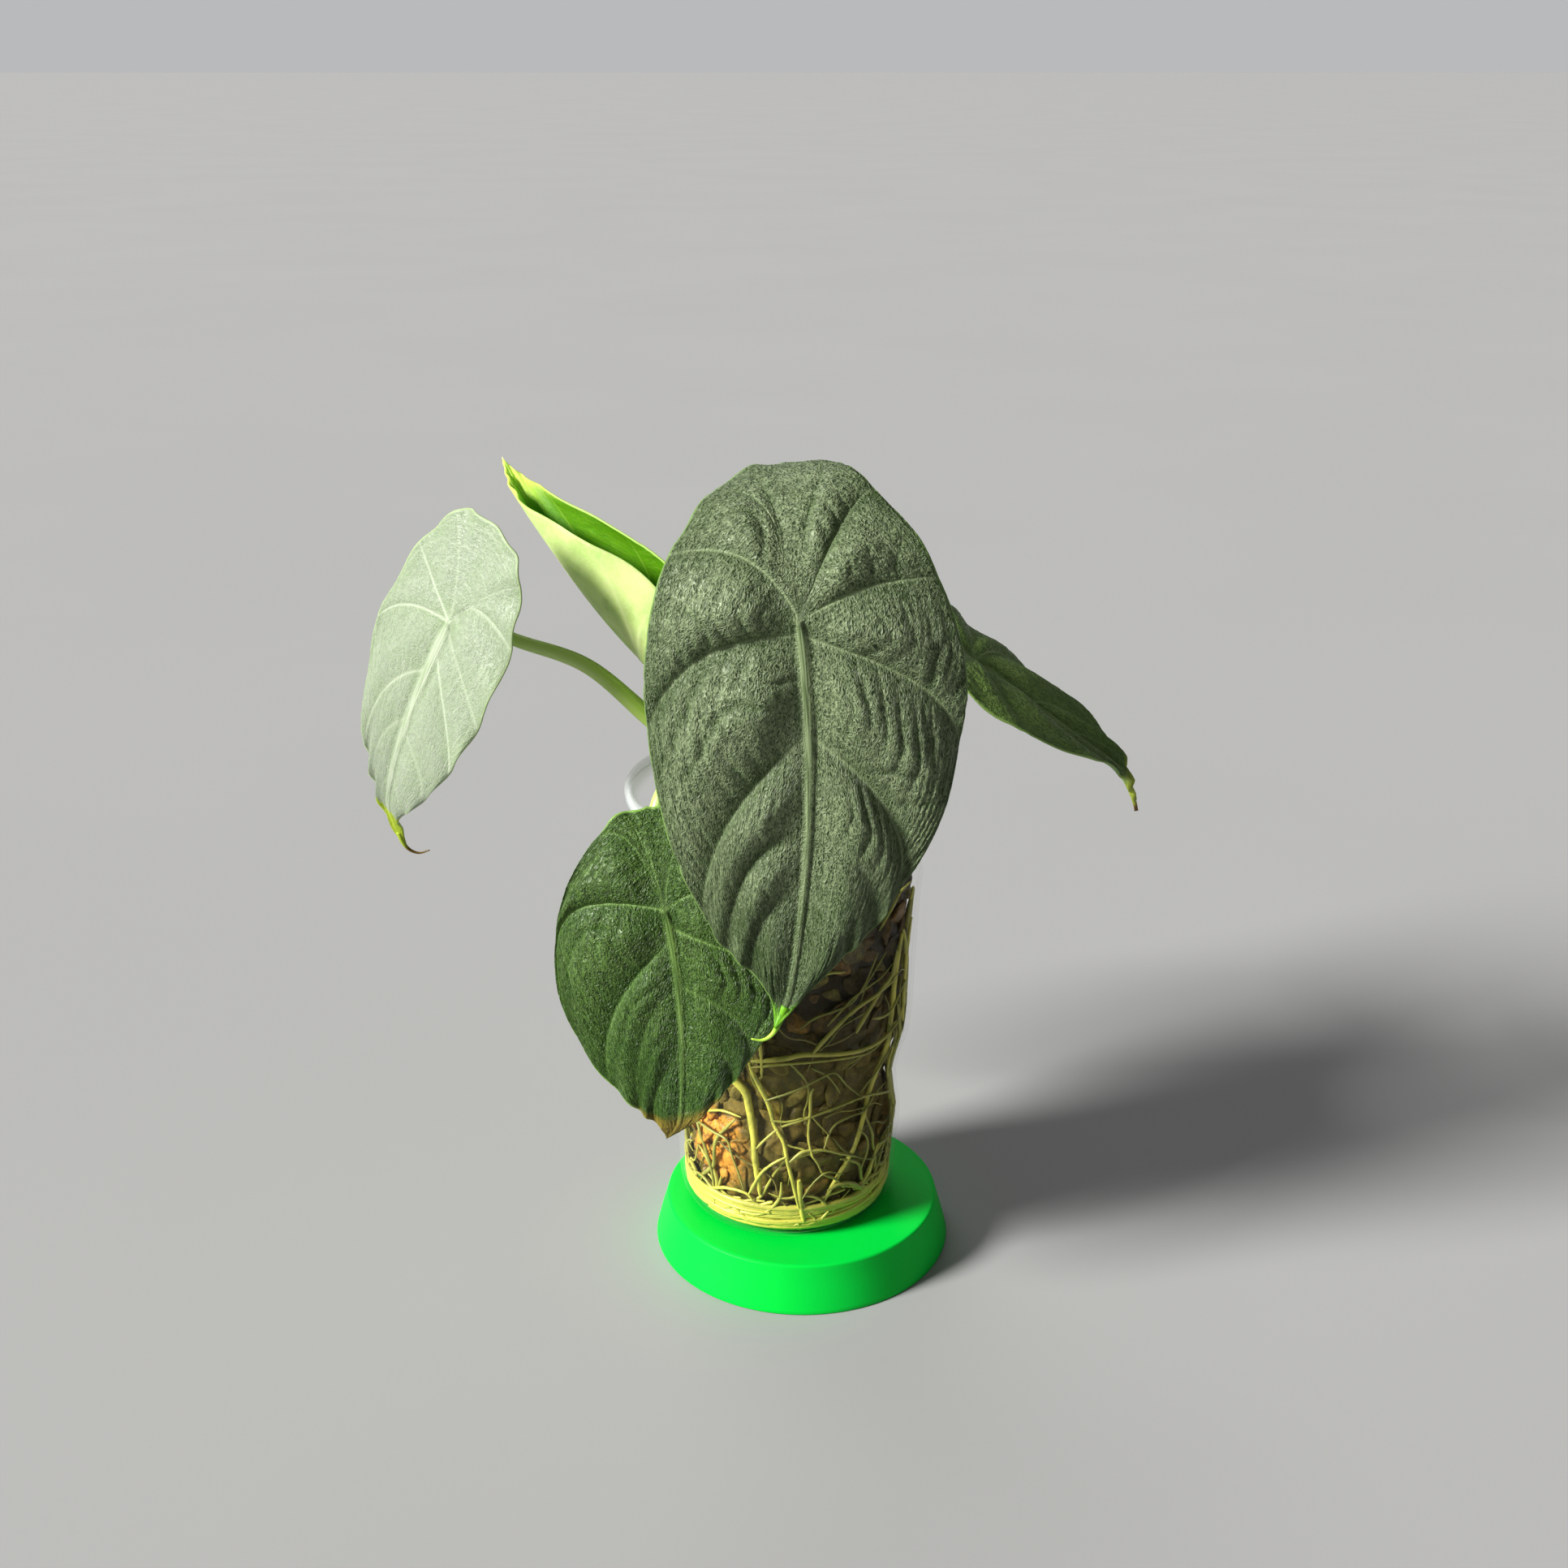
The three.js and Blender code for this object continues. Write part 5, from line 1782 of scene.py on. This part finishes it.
@dataclass
class RootNet:
    """The root net between the mix and the cup, with the coil at its foot."""

    cup: Cup
    shell_gap: float = 0.35
    stout_count: int = 30
    fine_count: int = 90
    coil_count: int = 22
    mat_count: int = 60
    bare_front: float = 58
    arc: float = 244
    step_angle: float = 9
    step_height: float = 5.5
    lowest: float = 19
    highest: float = 125
    seed: int = 41
    sides: int = 6
    roughness: float = 0.0004
    lump_scale: float = 700.0
    plan_scale: tuple[float, float] = (0.6, 1.0)
    finish: RootFinish = field(default_factory=RootFinish)

    def on_wall(self, angle: Array, height: Array, radius: Array, sink: float) -> Array:
        """Lay places against the inside of the cup.

        Args:
            angle: Degrees from the front towards +X.
            height: Height above the stand's underside.
            radius: Radius of the root there.
            sink: How far the root lies behind the wall.

        Returns:
            Places in millimetres.
        """
        turn = np.radians(angle - 90)
        reach = self.cup.radius(height) - self.cup.wall - self.shell_gap - radius - sink
        x = self.cup.centre[0] + reach * np.cos(turn)
        y = self.cup.centre[1] + reach * np.sin(turn)
        return np.stack([x, y, height], axis=1)

    def chosen(
        self, places: list[tuple[float, float]], random: np.random.Generator, *bounds: tuple[float, float]
    ) -> Root:
        """Make a root whose radius, tone and sink are drawn between three pairs of bounds."""
        return Root(tuple(places), *(random.uniform(*pair) for pair in bounds))

    def free_roots(self) -> list[Root]:
        """Grow the rest of the net by a seeded rule.

        Returns:
            Stout roots that wind down, and fine ones that wander.
        """
        random = np.random.default_rng(self.seed)
        roots = []
        for i in range(self.stout_count):
            start = self.bare_front + self.arc * (i + random.uniform(0, 0.8)) / self.stout_count
            top = random.uniform(70, 124)
            sweep = random.choice([-1, 1]) * random.uniform(4, 60)
            bend, waves = random.uniform(-16, 16), random.uniform(3, 11)
            places = [
                (start + sweep * s**1.6 + bend * math.sin(waves * s + i), top + (20 - top) * s**1.1)
                for s in np.linspace(0, 1, 7)
            ]
            roots.append(self.chosen(places, random, (0.45, 1.0), (0.45, 1.0), (0, 0.9)))
        for i in range(self.fine_count + self.mat_count):
            mat = i >= self.fine_count
            angle, height = random.uniform(-180, 180), 20 + 102 * random.uniform(0.05, 1) ** 1.4
            if mat:
                angle, height = random.uniform(-150, 150), random.uniform(19, 31)
            heading = random.uniform(0.25, 1.1) * random.choice([-1, 1]) + math.pi * random.integers(0, 2)
            places = [(angle, height)]
            for _ in range(random.integers(3, 7)):
                heading += random.uniform(-0.6, 0.6)
                angle += self.step_angle * math.cos(heading)
                risen = height + self.step_height * math.sin(heading)
                height = float(np.clip(risen, self.lowest + random.uniform(0, 2), self.highest))
                places.append((angle, height))
            sizes, tones = ((0.3, 0.7), (0.55, 1.0)) if mat else ((0.16, 0.42), (0.1, 0.8))
            roots.append(self.chosen(places, random, sizes, tones, (0.1, 1.4)))
        for i in range(self.coil_count):
            level = 17.6 + 8.2 * (i / self.coil_count) ** 1.2
            start = random.uniform(0, 360)
            turns = random.uniform(150, 340)
            places = [
                (start + turns * s, level + random.uniform(-0.5, 0.5) + 0.5 * math.sin(7 * s + i))
                for s in np.linspace(0, 1, 12)
            ]
            roots.append(self.chosen(places, random, (0.6, 1.15), (0.75, 1.0), (0, 0.8)))
        return roots

    def lines(self) -> bpy.types.Object:
        """Draw every root as a line of edges that keeps its radius and tone."""
        points, radii, tones = [], [], []
        edges: list[tuple[int, int]] = []
        for root in (*FRONT_ROOTS, *self.free_roots()):
            places = np.array(root.places, float) * self.plan_scale
            plan = spline(places, 2 + 9 * len(places)) / self.plan_scale
            share = np.linspace(0, 1, len(plan))
            pointed = np.minimum(1, 6 * np.minimum(share + 0.04, 1.04 - share)) ** 0.5
            radius = 1.2 * root.radius * (1 - 0.35 * share) * pointed
            start = sum(map(len, points))
            edges += [(start + i, start + i + 1) for i in range(len(plan) - 1)]
            points.append(self.on_wall(plan[:, 0], plan[:, 1], radius, root.sink))
            radii.append(radius * MM)
            tones.append(np.full(len(plan), root.tone))
        values = {"root_radius": np.concatenate(radii), "tone": np.concatenate(tones)}
        return mesh_object("root_lines", np.vstack(points), [], values, edges)

    def tree(self) -> ShapeSheet:
        """Build the geometry tree that turns lines into round, slightly knobbly roots."""
        sheet = ShapeSheet("root_sweep")
        sides, rough = sheet.size("Sides", "Int"), sheet.size("Roughness")
        material = sheet.size("Material", "Material")
        radius = sheet.kept("root_radius")
        curves = sheet.add("GeometryNodeMeshToCurve", {"Mesh": sheet.start.outputs["Geometry"]})
        thick = sheet.add("GeometryNodeSetCurveRadius", {"Curve": curves.outputs[0], "Radius": radius})
        ring = sheet.add("GeometryNodeCurvePrimitiveCircle", {"Resolution": sides, "Radius": 1.0})
        feeds = {"Curve": thick.outputs[0], "Profile Curve": ring.outputs[0], "Fill Caps": True}
        swept = sheet.add("GeometryNodeCurveToMesh", feeds)
        if "Scale" in swept.inputs:
            sheet.feed(swept.inputs["Scale"], radius)
        sheet.close(sheet.roughen(swept.outputs[0], self.lump_scale, rough), material)
        return sheet

    def build(self) -> None:
        """Sweep the roots and dress them."""
        sizes = {"Sides": self.sides, "Roughness": self.roughness, "Material": self.finish.material()}
        hand_over(self.tree().make(self.lines(), "root_net", sizes), "roots")


# Picture


@dataclass
class CameraRig:
    """The camera at the photograph's place and angle."""

    place: Place = (-0.0056, -0.5068, 0.3503)
    pitch_degrees: float = 68.58
    lens: float = 43.08
    sensor: float = 36.0

    def build(self) -> None:
        """Make the camera and set it as the scene's own."""
        data = bpy.data.cameras.new("camera")
        data.lens = self.lens
        data.sensor_width = self.sensor
        data.clip_start = 0.01
        camera = bpy.data.objects.new("camera", data)
        camera.location = self.place
        camera.rotation_euler = (math.radians(self.pitch_degrees), 0.0, 0.0)
        bpy.context.scene.collection.objects.link(camera)
        bpy.context.scene.camera = camera


@dataclass(frozen=True)
class SoftLight:
    """A broad, distant light with soft shadow edges."""

    name: str
    direction: Place
    strength: float
    spread_degrees: float
    colour: Place = (1.0, 1.0, 1.0)

    def build(self) -> None:
        """Make the light shine from its direction."""
        data = bpy.data.lights.new(self.name, "SUN")
        data.angle = math.radians(self.spread_degrees)
        data.energy = self.strength
        data.color = self.colour
        light = bpy.data.objects.new(self.name, data)
        light.location = Vector(self.direction)
        light.rotation_euler = (-Vector(self.direction)).to_track_quat("-Z", "Y").to_euler()
        bpy.context.scene.collection.objects.link(light)


@dataclass
class Studio:
    """Pale floor, dim even surroundings and soft lights, the strongest from the left."""

    surround: float = 0.14
    backdrop: float = 0.5
    sky: Colour = (0.97, 0.98, 1.0, 1.0)
    floor_size: float = 60.0
    floor_drop: float = 0.02
    lights: tuple[SoftLight, ...] = (
        SoftLight("key", (-0.8, -0.35, 0.49), 7.4, 16.0, (1.0, 0.99, 0.96)),
        SoftLight("back", (-0.3, 0.8, 0.6), 0.7, 40.0),
    )
    finish: FloorFinish = field(default_factory=FloorFinish)

    def build(self) -> None:
        """Make the surroundings, the lights and the floor."""
        scene = bpy.context.scene
        scene.view_settings.view_transform = "Standard"
        world = bpy.data.worlds.new("surround")
        world.use_nodes = True
        sheet = NodeSheet(world.node_tree)
        background = world.node_tree.nodes["Background"]
        sheet.feed(background.inputs["Color"], self.sky)
        seen = sheet.add("ShaderNodeLightPath").outputs["Is Camera Ray"]
        extra = sheet.maths("MULTIPLY", seen, self.backdrop - self.surround)
        sheet.feed(background.inputs["Strength"], sheet.maths("ADD", extra, self.surround))
        scene.world = world
        for light in self.lights:
            light.build()
        half = self.floor_size / 2
        corners = np.array([[-half, -half, 0], [half, -half, 0], [half, half, 0], [-half, half, 0]]) / MM
        corners[:, 2] = -self.floor_drop
        floor = mesh_object("studio_floor", corners, [[0, 1, 2, 3]], {})
        floor.data.materials.append(self.finish.material())


# The plant's own leaves

DARK_LEAF = LeafFinish(
    "dark_leaf_skin",
    pit_and_shade=tint("26361a"),
    crest_and_sheen=tint("7a8864"),
    green=tint("223c08"),
    vein=tint("8a9a72"),
    midrib=tint("84946a"),
    margin=tint("6f8f48"),
    tip=tint("6aa818"),
    tip_end=tint("b4e04c"),
    back=tint("8fa878"),
    back_vein=tint("b4cc90"),
    tip_reach=(5.0, -1.0),
    end_reach=(-1.0, -5.0),
    zone_width=9.0,
    zone_share=0.6,
    valley_shade_share=0.8,
    tip_green=0.85,
    wrinkle=0.00042,
    gloss=0.3,
    specks=0.25,
)
GREEN_LEAF = LeafFinish(
    "green_leaf_skin",
    pit_and_shade=tint("1a3006"),
    crest_and_sheen=tint("4c682a"),
    green=tint("1e4202"),
    vein=tint("6e8e48"),
    midrib=tint("66823e"),
    margin=tint("7ca446"),
    tip=tint("7c6e24"),
    tip_end=tint("5a4a1c"),
    back=tint("85a860"),
    back_vein=tint("b0cc80"),
    tip_reach=(8.0, 3.0),
    end_reach=(1.0, -1.5),
    wrinkle=0.00042,
    valley_shade_share=0.9,
    gloss=0.35,
)
# A lighter copy of the green leaf skin for the right leaf, which faces away from the key light: partly its
# own paler green, partly painted light that lifts its shade.
RIGHT_LEAF = LeafFinish(
    "shade_lifted_leaf_skin",
    pit_and_shade=tint("465e28"),
    crest_and_sheen=tint("76924a"),
    green=tint("40621e"),
    vein=tint("86a060"),
    midrib=tint("8aa262"),
    margin=tint("86a454"),
    tip=tint("a8b840"),
    tip_end=tint("6b4a24"),
    back=tint("7d9c62"),
    back_vein=tint("a0bc7c"),
    tip_reach=(14.0, 5.0),
    end_reach=(4.0, 1.0),
    wrinkle=0.00025,
    gloss=0.3,
    specks=0.2,
)
# Pale grey-green skin of the left leaf: partly its own silvery bloom, partly a painted sheen for the grazing
# reflection on its face.
SILVER_SHEEN_LEAF = LeafFinish(
    "silver_and_sheen_leaf_skin",
    pit_and_shade=tint("808e75"),
    crest_and_sheen=tint("949f88"),
    green=tint("7e9269"),
    vein=tint("b0baa2"),
    midrib=tint("acb69e"),
    margin=tint("9eb080"),
    tip=tint("98ac28"),
    tip_end=tint("6a5018"),
    back=tint("b8cc9c"),
    back_vein=tint("d6e2c0"),
    tip_reach=(14.5, 13.0),
    end_reach=(0.0, -3.0),
    wrinkle=0.00014,
    tip_green=0.0,
    gloss=0.3,
    glow=0.15,
    specks=0.0,
)
LIME_LEAF = LeafFinish(
    "lime_leaf_skin",
    pit_and_shade=tint("4a7c08"),
    crest_and_sheen=tint("5c920e"),
    green=tint("3e7404"),
    vein=tint("7ca830"),
    midrib=tint("8cb440"),
    margin=tint("b4d870"),
    tip=tint("c2e060"),
    tip_end=tint("d8e4b0"),
    back=tint("c0d884"),
    back_vein=tint("c8dc94"),
    tip_reach=(24.0, 6.0),
    end_reach=(1.5, -1.0),
    wrinkle=0.00004,
    roughness=0.5,
    gloss=0.2,
    glow=0.5,
    glow_depth=0.003,
    tip_green=0.0,
    specks=0.0,
)

L, R = Side.LEFT, Side.RIGHT
FRONT_FOLDS = (
    Fold(L, ((3.77, 0.04), (3.53, 0.17), (3.38, 0.33), (3.4, 0.46), (3.5, 0.57), (3.49, 0.84)), 1.0, 1.5),
    Fold(L, ((3.41, 0.02), (3.37, 0.11), (3.34, 0.19)), 0.35, 0.9),
    Fold(L, ((3.09, 0.21), (3.17, 0.27), (3.28, 0.31)), 0.4, 1.0),
    Fold(L, ((3.01, 0.5), (3.11, 0.52), (3.19, 0.59), (3.27, 0.7), (3.33, 0.84)), 0.9, 1.4),
    Fold(L, ((3.01, 0.46), (2.76, 0.49), (2.53, 0.63), (2.43, 0.78), (2.4, 0.96)), 0.9, 1.3),
    Fold(L, ((2.99, 0.6), (2.77, 0.69), (2.62, 0.83), (2.56, 0.98)), 0.7, 1.2),
    Fold(L, ((1.78, 0.38), (1.37, 0.44), (1.28, 0.58), (1.41, 0.7), (1.59, 0.8)), 0.7, 1.4),
    Fold(L, ((0.5, 0.3), (0.45, 0.5), (0.46, 0.7), (0.47, 0.87), (0.5, 0.98)), 1.0, 1.5),
    Fold(R, ((0.29, 0.32), (0.33, 0.53), (0.39, 0.73), (0.4, 0.96)), 0.9, 1.3),
    Fold(R, ((2.99, 0.58), (2.61, 0.71), (2.44, 0.84), (2.37, 0.97)), 1.0, 1.3),
    Fold(R, ((2.03, 0.7), (2.17, 0.71), (2.33, 0.71)), 0.6, 1.3),
    Fold(R, ((1.94, 0.68), (1.72, 0.79), (1.58, 0.88), (1.55, 0.98)), 0.7, 1.4),
    Fold(R, ((3.07, 0.53), (3.27, 0.59), (3.45, 0.64)), 0.5, 1.2),
    Fold(R, ((3.92, 0.27), (3.75, 0.4), (3.57, 0.59), (3.44, 0.79)), 0.7, 1.3),
    Fold(R, ((3.9, 0.49), (3.66, 0.7), (3.46, 0.88)), 0.6, 1.3),
)

FRONT_BLADE = LeafBlade(
    "front_blade",
    attach=(-1.8, -60, 218.4),
    tipward=(0.125, -0.07, -0.99),
    facing=(-0.03, -1, 0.067),
    base_length=56,
    tip_length=107.4,
    half_widths=(41.8, 40.3),
    taper=(0.85, 0.93),
    finish=DARK_LEAF,
    slot="dark_leaf",
    fans=FRONT_FANS,
    notch=7,
    skew=0.05,
    lobe_bend=90,
    side_bend=18.5,
    swing=-17.3,
    tail=9,
    tail_curl=-3,
    tail_side=-2.5,
    acumen=0.4,
    puff=6.0,
    steepness=0.36,
    lobe_ease=0.6,
    shoulder=13,
    margin_drop=0.6,
    pleat=0.2,
    quilt=1.15,
    quilt_pitch=6.0,
    rib_width=1.4,
    radial_rows=190,
    midrib_rows=170,
    upper_columns=84,
    lower_columns=28,
    folds=FRONT_FOLDS,
    hook=((-8.6, -69, 107.6), (-11.2, -69.5, 106.0), (-14.2, -70, 106.6)),
    hook_radius=1.3,
)
LOW_FOLDS = (
    Fold(L, ((3.35, 0.16), (3.24, 0.41), (3.29, 0.66), (3.46, 0.85)), 0.6, 1.2),
    Fold(L, ((2.85, 0.4), (2.6, 0.55), (2.45, 0.78), (2.4, 0.96)), 0.6, 1.2),
    Fold(L, ((2.9, 0.62), (2.75, 0.78), (2.65, 0.95)), 0.5, 1.1),
    Fold(L, ((4.6, 0.1), (4.4, 0.39), (4.46, 0.74)), 0.6, 1.1),
    Fold(L, ((5.51, 0.1), (5.42, 0.46), (5.5, 0.81)), 0.5, 1.1),
    Fold(R, ((3.46, 0.23), (3.34, 0.56), (3.47, 0.89)), 0.5, 1.1),
)
LOW_BLADE = LeafBlade(
    "low_blade",
    attach=(-37.1, -54, 136.7),
    tipward=(0.199, -0.204, -0.959),
    facing=(-0.085, -0.978, 0.19),
    base_length=33,
    tip_length=63.2,
    half_widths=(34.8, 31),
    taper=(0.95, 1),
    finish=GREEN_LEAF,
    slot="green_leaf",
    fans=LOW_FANS,
    lobe_bend=22,
    side_bend=21,
    swing=-9.7,
    tail=6,
    tail_curl=2,
    tail_side=-4,
    puff=4.4,
    steepness=0.28,
    quilt=0.9,
    quilt_pitch=5.5,
    shoulder=10,
    rib_width=1.1,
    rib_height=0.45,
    radial_rows=130,
    midrib_rows=120,
    folds=LOW_FOLDS,
    seed=5,
)
LEFT_BLADE = LeafBlade(
    "left_blade",
    attach=(-99.2, 0, 200.2),
    tipward=(-0.474, 0.119, -0.873),
    facing=(-0.622, -0.746, 0.236),
    base_length=37.5,
    tip_length=105,
    half_widths=(26.5, 26),
    taper=(0.6, 1.16),
    finish=SILVER_SHEEN_LEAF,
    slot="silver_leaf",
    fans=LEFT_FANS,
    tip_bend=45,
    side_bend=3,
    swing=-21.5,
    tail=20,
    tail_curl=-1.5,
    tail_side=12,
    tail_twist=-38,
    acumen=-0.15,
    puff=1.3,
    steepness=0.1,
    quilt=0.25,
    ripple=0.04,
    rib_width=1.7,
    rib_height=0.3,
    hook=((-127.6, 45.6, 113.6), (-125.6, 46.2, 110.6), (-122.8, 46.6, 109.4), (-119.4, 46.6, 110.4)),
    hook_radius=1.0,
    seed=7,
)
RIGHT_BLADE = LeafBlade(
    "right_blade",
    attach=(51.3, 27, 180.2),
    tipward=(0.787, -0.108, -0.608),
    facing=(0.597, -0.12, 0.793),
    base_length=34,
    tip_length=71,
    half_widths=(28, 28),
    taper=(0.77, 1.2),
    finish=RIGHT_LEAF,
    slot="green_leaf",
    side_bend=41,
    fold=19,
    swing=10.8,
    tail=22,
    tail_curl=8.8,
    puff=2.0,
    seed=9,
)
NEW_BLADE = LeafBlade(
    "new_blade",
    attach=(-45.2, 4, 187.9),
    tipward=(-0.669, 0.546, 0.505),
    facing=(0.467, -0.221, 0.857),
    base_length=26,
    tip_length=78,
    half_widths=(28, 28),
    taper=(0.77, 1.32),
    finish=LIME_LEAF,
    slot="lime_leaf",
    notch=4,
    tip_bend=-20,
    side_bend=-72,
    fold=41,
    twist=-45,
    swing=-2,
    tail=14,
    puff=0.6,
    steepness=0.05,
    wave=0.4,
    quilt=0.15,
    ripple=0.02,
    vein_keel=0.15,
    tip_roll=0.6,
    seed=11,
)


def petioles(cup: Cup) -> list[Petiole]:
    """Stand the five leaf stalks on the crown, in the order of their blades, round the cup's axis."""
    foot_z, ring = 136.0, 7.9

    def foot(angle: float) -> Place:
        """Give the place on the crown at an angle round it."""
        turn = math.radians(angle)
        return (cup.centre[0] + ring * math.cos(turn), cup.centre[1] + ring * math.sin(turn), foot_z)

    front = ((-1, -6, 160), (-2, -16, 190), (-2.4, -34, 211))
    low = ((-15, -10, 152), (-25, -20, 163), (-34, -29, 166), (-39.5, -36, 160), (-40.8, -39.5, 149))
    low += ((-39, -41.5, 140),)
    left = ((-26, 4.3, 154), (-44, 3, 170.6), (-62, 2, 187), (-81, 1, 194.6))
    return [
        Petiole("front_petiole", FRONT_BLADE, foot(306), front, 7),
        Petiole("low_petiole", LOW_BLADE, foot(234), low, 6),
        Petiole("left_petiole", LEFT_BLADE, foot(162), left, 6),
        Petiole("right_petiole", RIGHT_BLADE, foot(18), ((10, 9, 158), (23, 17, 170.5), (35, 23, 173.5)), 5),
        Petiole("new_petiole", NEW_BLADE, foot(90), ((-12, 9, 155), (-24, 6, 168), (-34, 2, 175)), 4, 9),
    ]


def main() -> None:
    """Build the scene piece by piece."""
    logging.basicConfig(level=logging.INFO, format="%(message)s")
    CameraRig().build()
    Studio().build()
    Stand().build()
    cup = Cup()
    cup.build()
    PottingMix(cup).build()
    RootNet(cup).build()
    Crown(cup.centre).build()
    for blade in (FRONT_BLADE, LOW_BLADE, LEFT_BLADE, RIGHT_BLADE, NEW_BLADE):
        blade.build()
    for petiole in petioles(cup):
        petiole.build()


if __name__ == "__main__":
    main()
